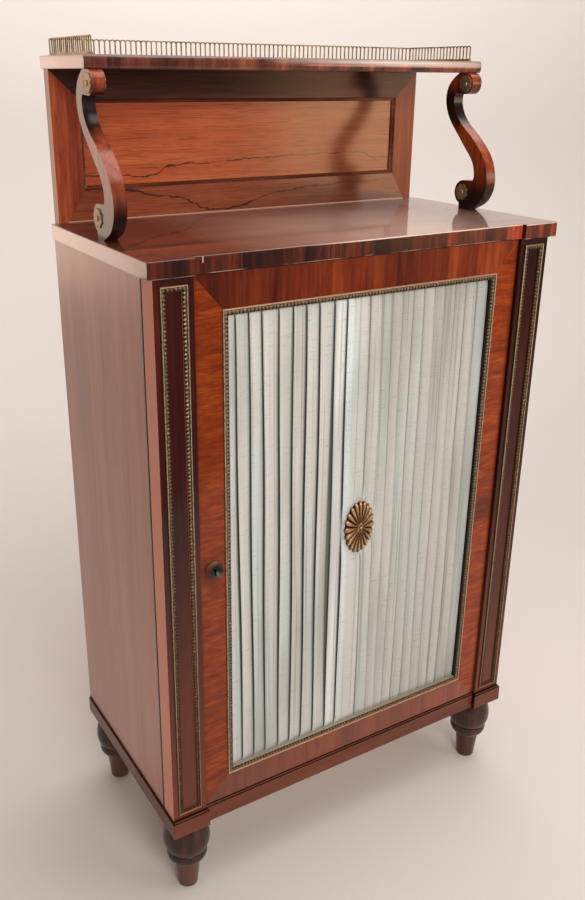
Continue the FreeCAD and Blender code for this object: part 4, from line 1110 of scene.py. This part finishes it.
# %% Mouldings on the door and the pilasters
EDGE = 0.0020
CREST = 0.0025


def leaf_moulding(name, node, width, leaf_shape, body, brass):
    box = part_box(node)
    bm = bmesh.new()
    section = [(0.0, 0.0), (0.0, 0.0013), (0.0004, 0.0021), (0.0010, CREST), (0.0016, 0.0021),
               (EDGE, 0.0010), (EDGE + 0.0003, 0.0004), (width - 0.0001, 0.0003), (width, 0.0)]
    mitred_band(bm, box, section)
    leaves = leaf_row(bm, leaf_shape, box, EDGE + 0.0001)
    outward(bm)
    relief = bm.verts.layers.float.new("relief")
    for vert in bm.verts:
        vert[relief] = (box[1].y - vert.co.y) / CREST
    made = to_object(bm, name)
    made.data.materials.append(brass)
    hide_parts(node)
    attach(made, body)
    print(name, "leaves:", leaves, "faces:", len(made.data.polygons))


leaf_moulding("silk_frame_moulding", "door_moulding", 0.0079, leaf, "door", moulding_brass)
for hand in ("left", "right"):
    leaf_moulding("pilaster_leaf_moulding_" + hand, "pilaster_moulding_" + hand, 0.0070, short_leaf, "carcass",
                  pilaster_brass)

# %% [markdown]
# ## The oval rosette
# A cast patera in the middle of the silk: twenty rounded petals, deep grooves
# between them, a smaller ring of flutes inside and a bead at the centre.  One
# petal is shaped from a small grid and turned round the middle with spin; the
# whole round flower is then scaled into an oval.

# %% Rosette
PETALS, FLUTES = 20, 10
low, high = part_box("door_rosette")
ROSETTE_REACH = ((high.x - low.x) / 2, (high.z - low.z) / 2)
ROSETTE_SEAT = low.y + 0.0094


def petal_ring(bm, relief, count, inner, outer, foot, crest, rise):
    """One petal from a grid, then spun into a ring.  Radii are shares of the rim."""
    wedge = math.pi / count
    made = bmesh.ops.create_grid(bm, x_segments=6, y_segments=10, size=1.0)
    verts = made["verts"]
    for vert in verts:
        across, along = vert.co.x, (vert.co.y + 1) / 2
        tip = math.sqrt(max(0.0, 1 - (max(0.0, along - 0.80) / 0.20) ** 2))
        ridge = math.sqrt(max(0.0, 1 - across ** 2))
        reach = (inner + (outer - inner) * along) * (1 - 0.055 * across ** 2 * along ** 3)
        angle = wedge * across * 0.985 * (0.62 + 0.38 * min(1.0, tip * 1.8))
        swell = (crest - foot) * ridge * (0.30 + 0.70 * tip) * (0.35 + 0.65 * along)
        vert[relief] = ridge * (0.50 + 0.50 * along) * (0.6 + 0.4 * tip)
        vert.co = (reach * math.cos(angle), reach * math.sin(angle), foot + rise * (1 - along) + swell)
    faces = {f for v in verts for f in v.link_faces}
    edges = {e for v in verts for e in v.link_edges}
    bmesh.ops.spin(bm, geom=list(verts) + list(edges) + list(faces), cent=(0, 0, 0), axis=(0, 0, 1),
                   angle=2 * math.pi * (count - 1) / count, steps=count - 1, use_duplicate=True)


def disc(bm, lift, segments, base, top, depth):
    """A turned disc under the petals, lifted to its middle height."""
    made = bmesh.ops.create_cone(bm, cap_ends=True, segments=segments, radius1=base, radius2=top, depth=depth)
    bmesh.ops.translate(bm, verts=made["verts"], vec=(0, 0, lift))


def rosette():
    bm = bmesh.new()
    relief = bm.verts.layers.float.new("relief")
    petal_ring(bm, relief, PETALS, 0.10, 1.0, foot=0.0012, crest=0.0056, rise=0.0034)
    petal_ring(bm, relief, FLUTES, 0.02, 0.20, foot=0.0050, crest=0.0066, rise=0.0006)
    disc(bm, 0.0006, 60, 0.90, 0.86, 0.0012)
    disc(bm, 0.0022, 40, 0.50, 0.08, 0.0042)
    bead = bmesh.ops.create_uvsphere(bm, u_segments=16, v_segments=8, radius=1.0)
    bmesh.ops.scale(bm, verts=bead["verts"], vec=(0.070, 0.046, 0.0014))
    bmesh.ops.translate(bm, verts=bead["verts"], vec=(0, 0, 0.0064))
    for vert in bead["verts"]:
        vert[relief] = 1.0
    outward(bm)
    oval = Matrix.Diagonal((*ROSETTE_REACH, 1.0, 1.0))
    upright = Matrix.Rotation(math.radians(90), 4, "X")
    place = Matrix.Translation((0, ROSETTE_SEAT, ROSETTE_HEIGHT)) @ upright @ oval
    bmesh.ops.transform(bm, matrix=place, verts=bm.verts)
    return bm


patera = to_object(rosette(), "silk_rosette", smooth=True)
patera.data.materials.append(gilt_bronze)
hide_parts("door_rosette")
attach(patera, "door")
print("rosette faces:", len(patera.data.polygons))
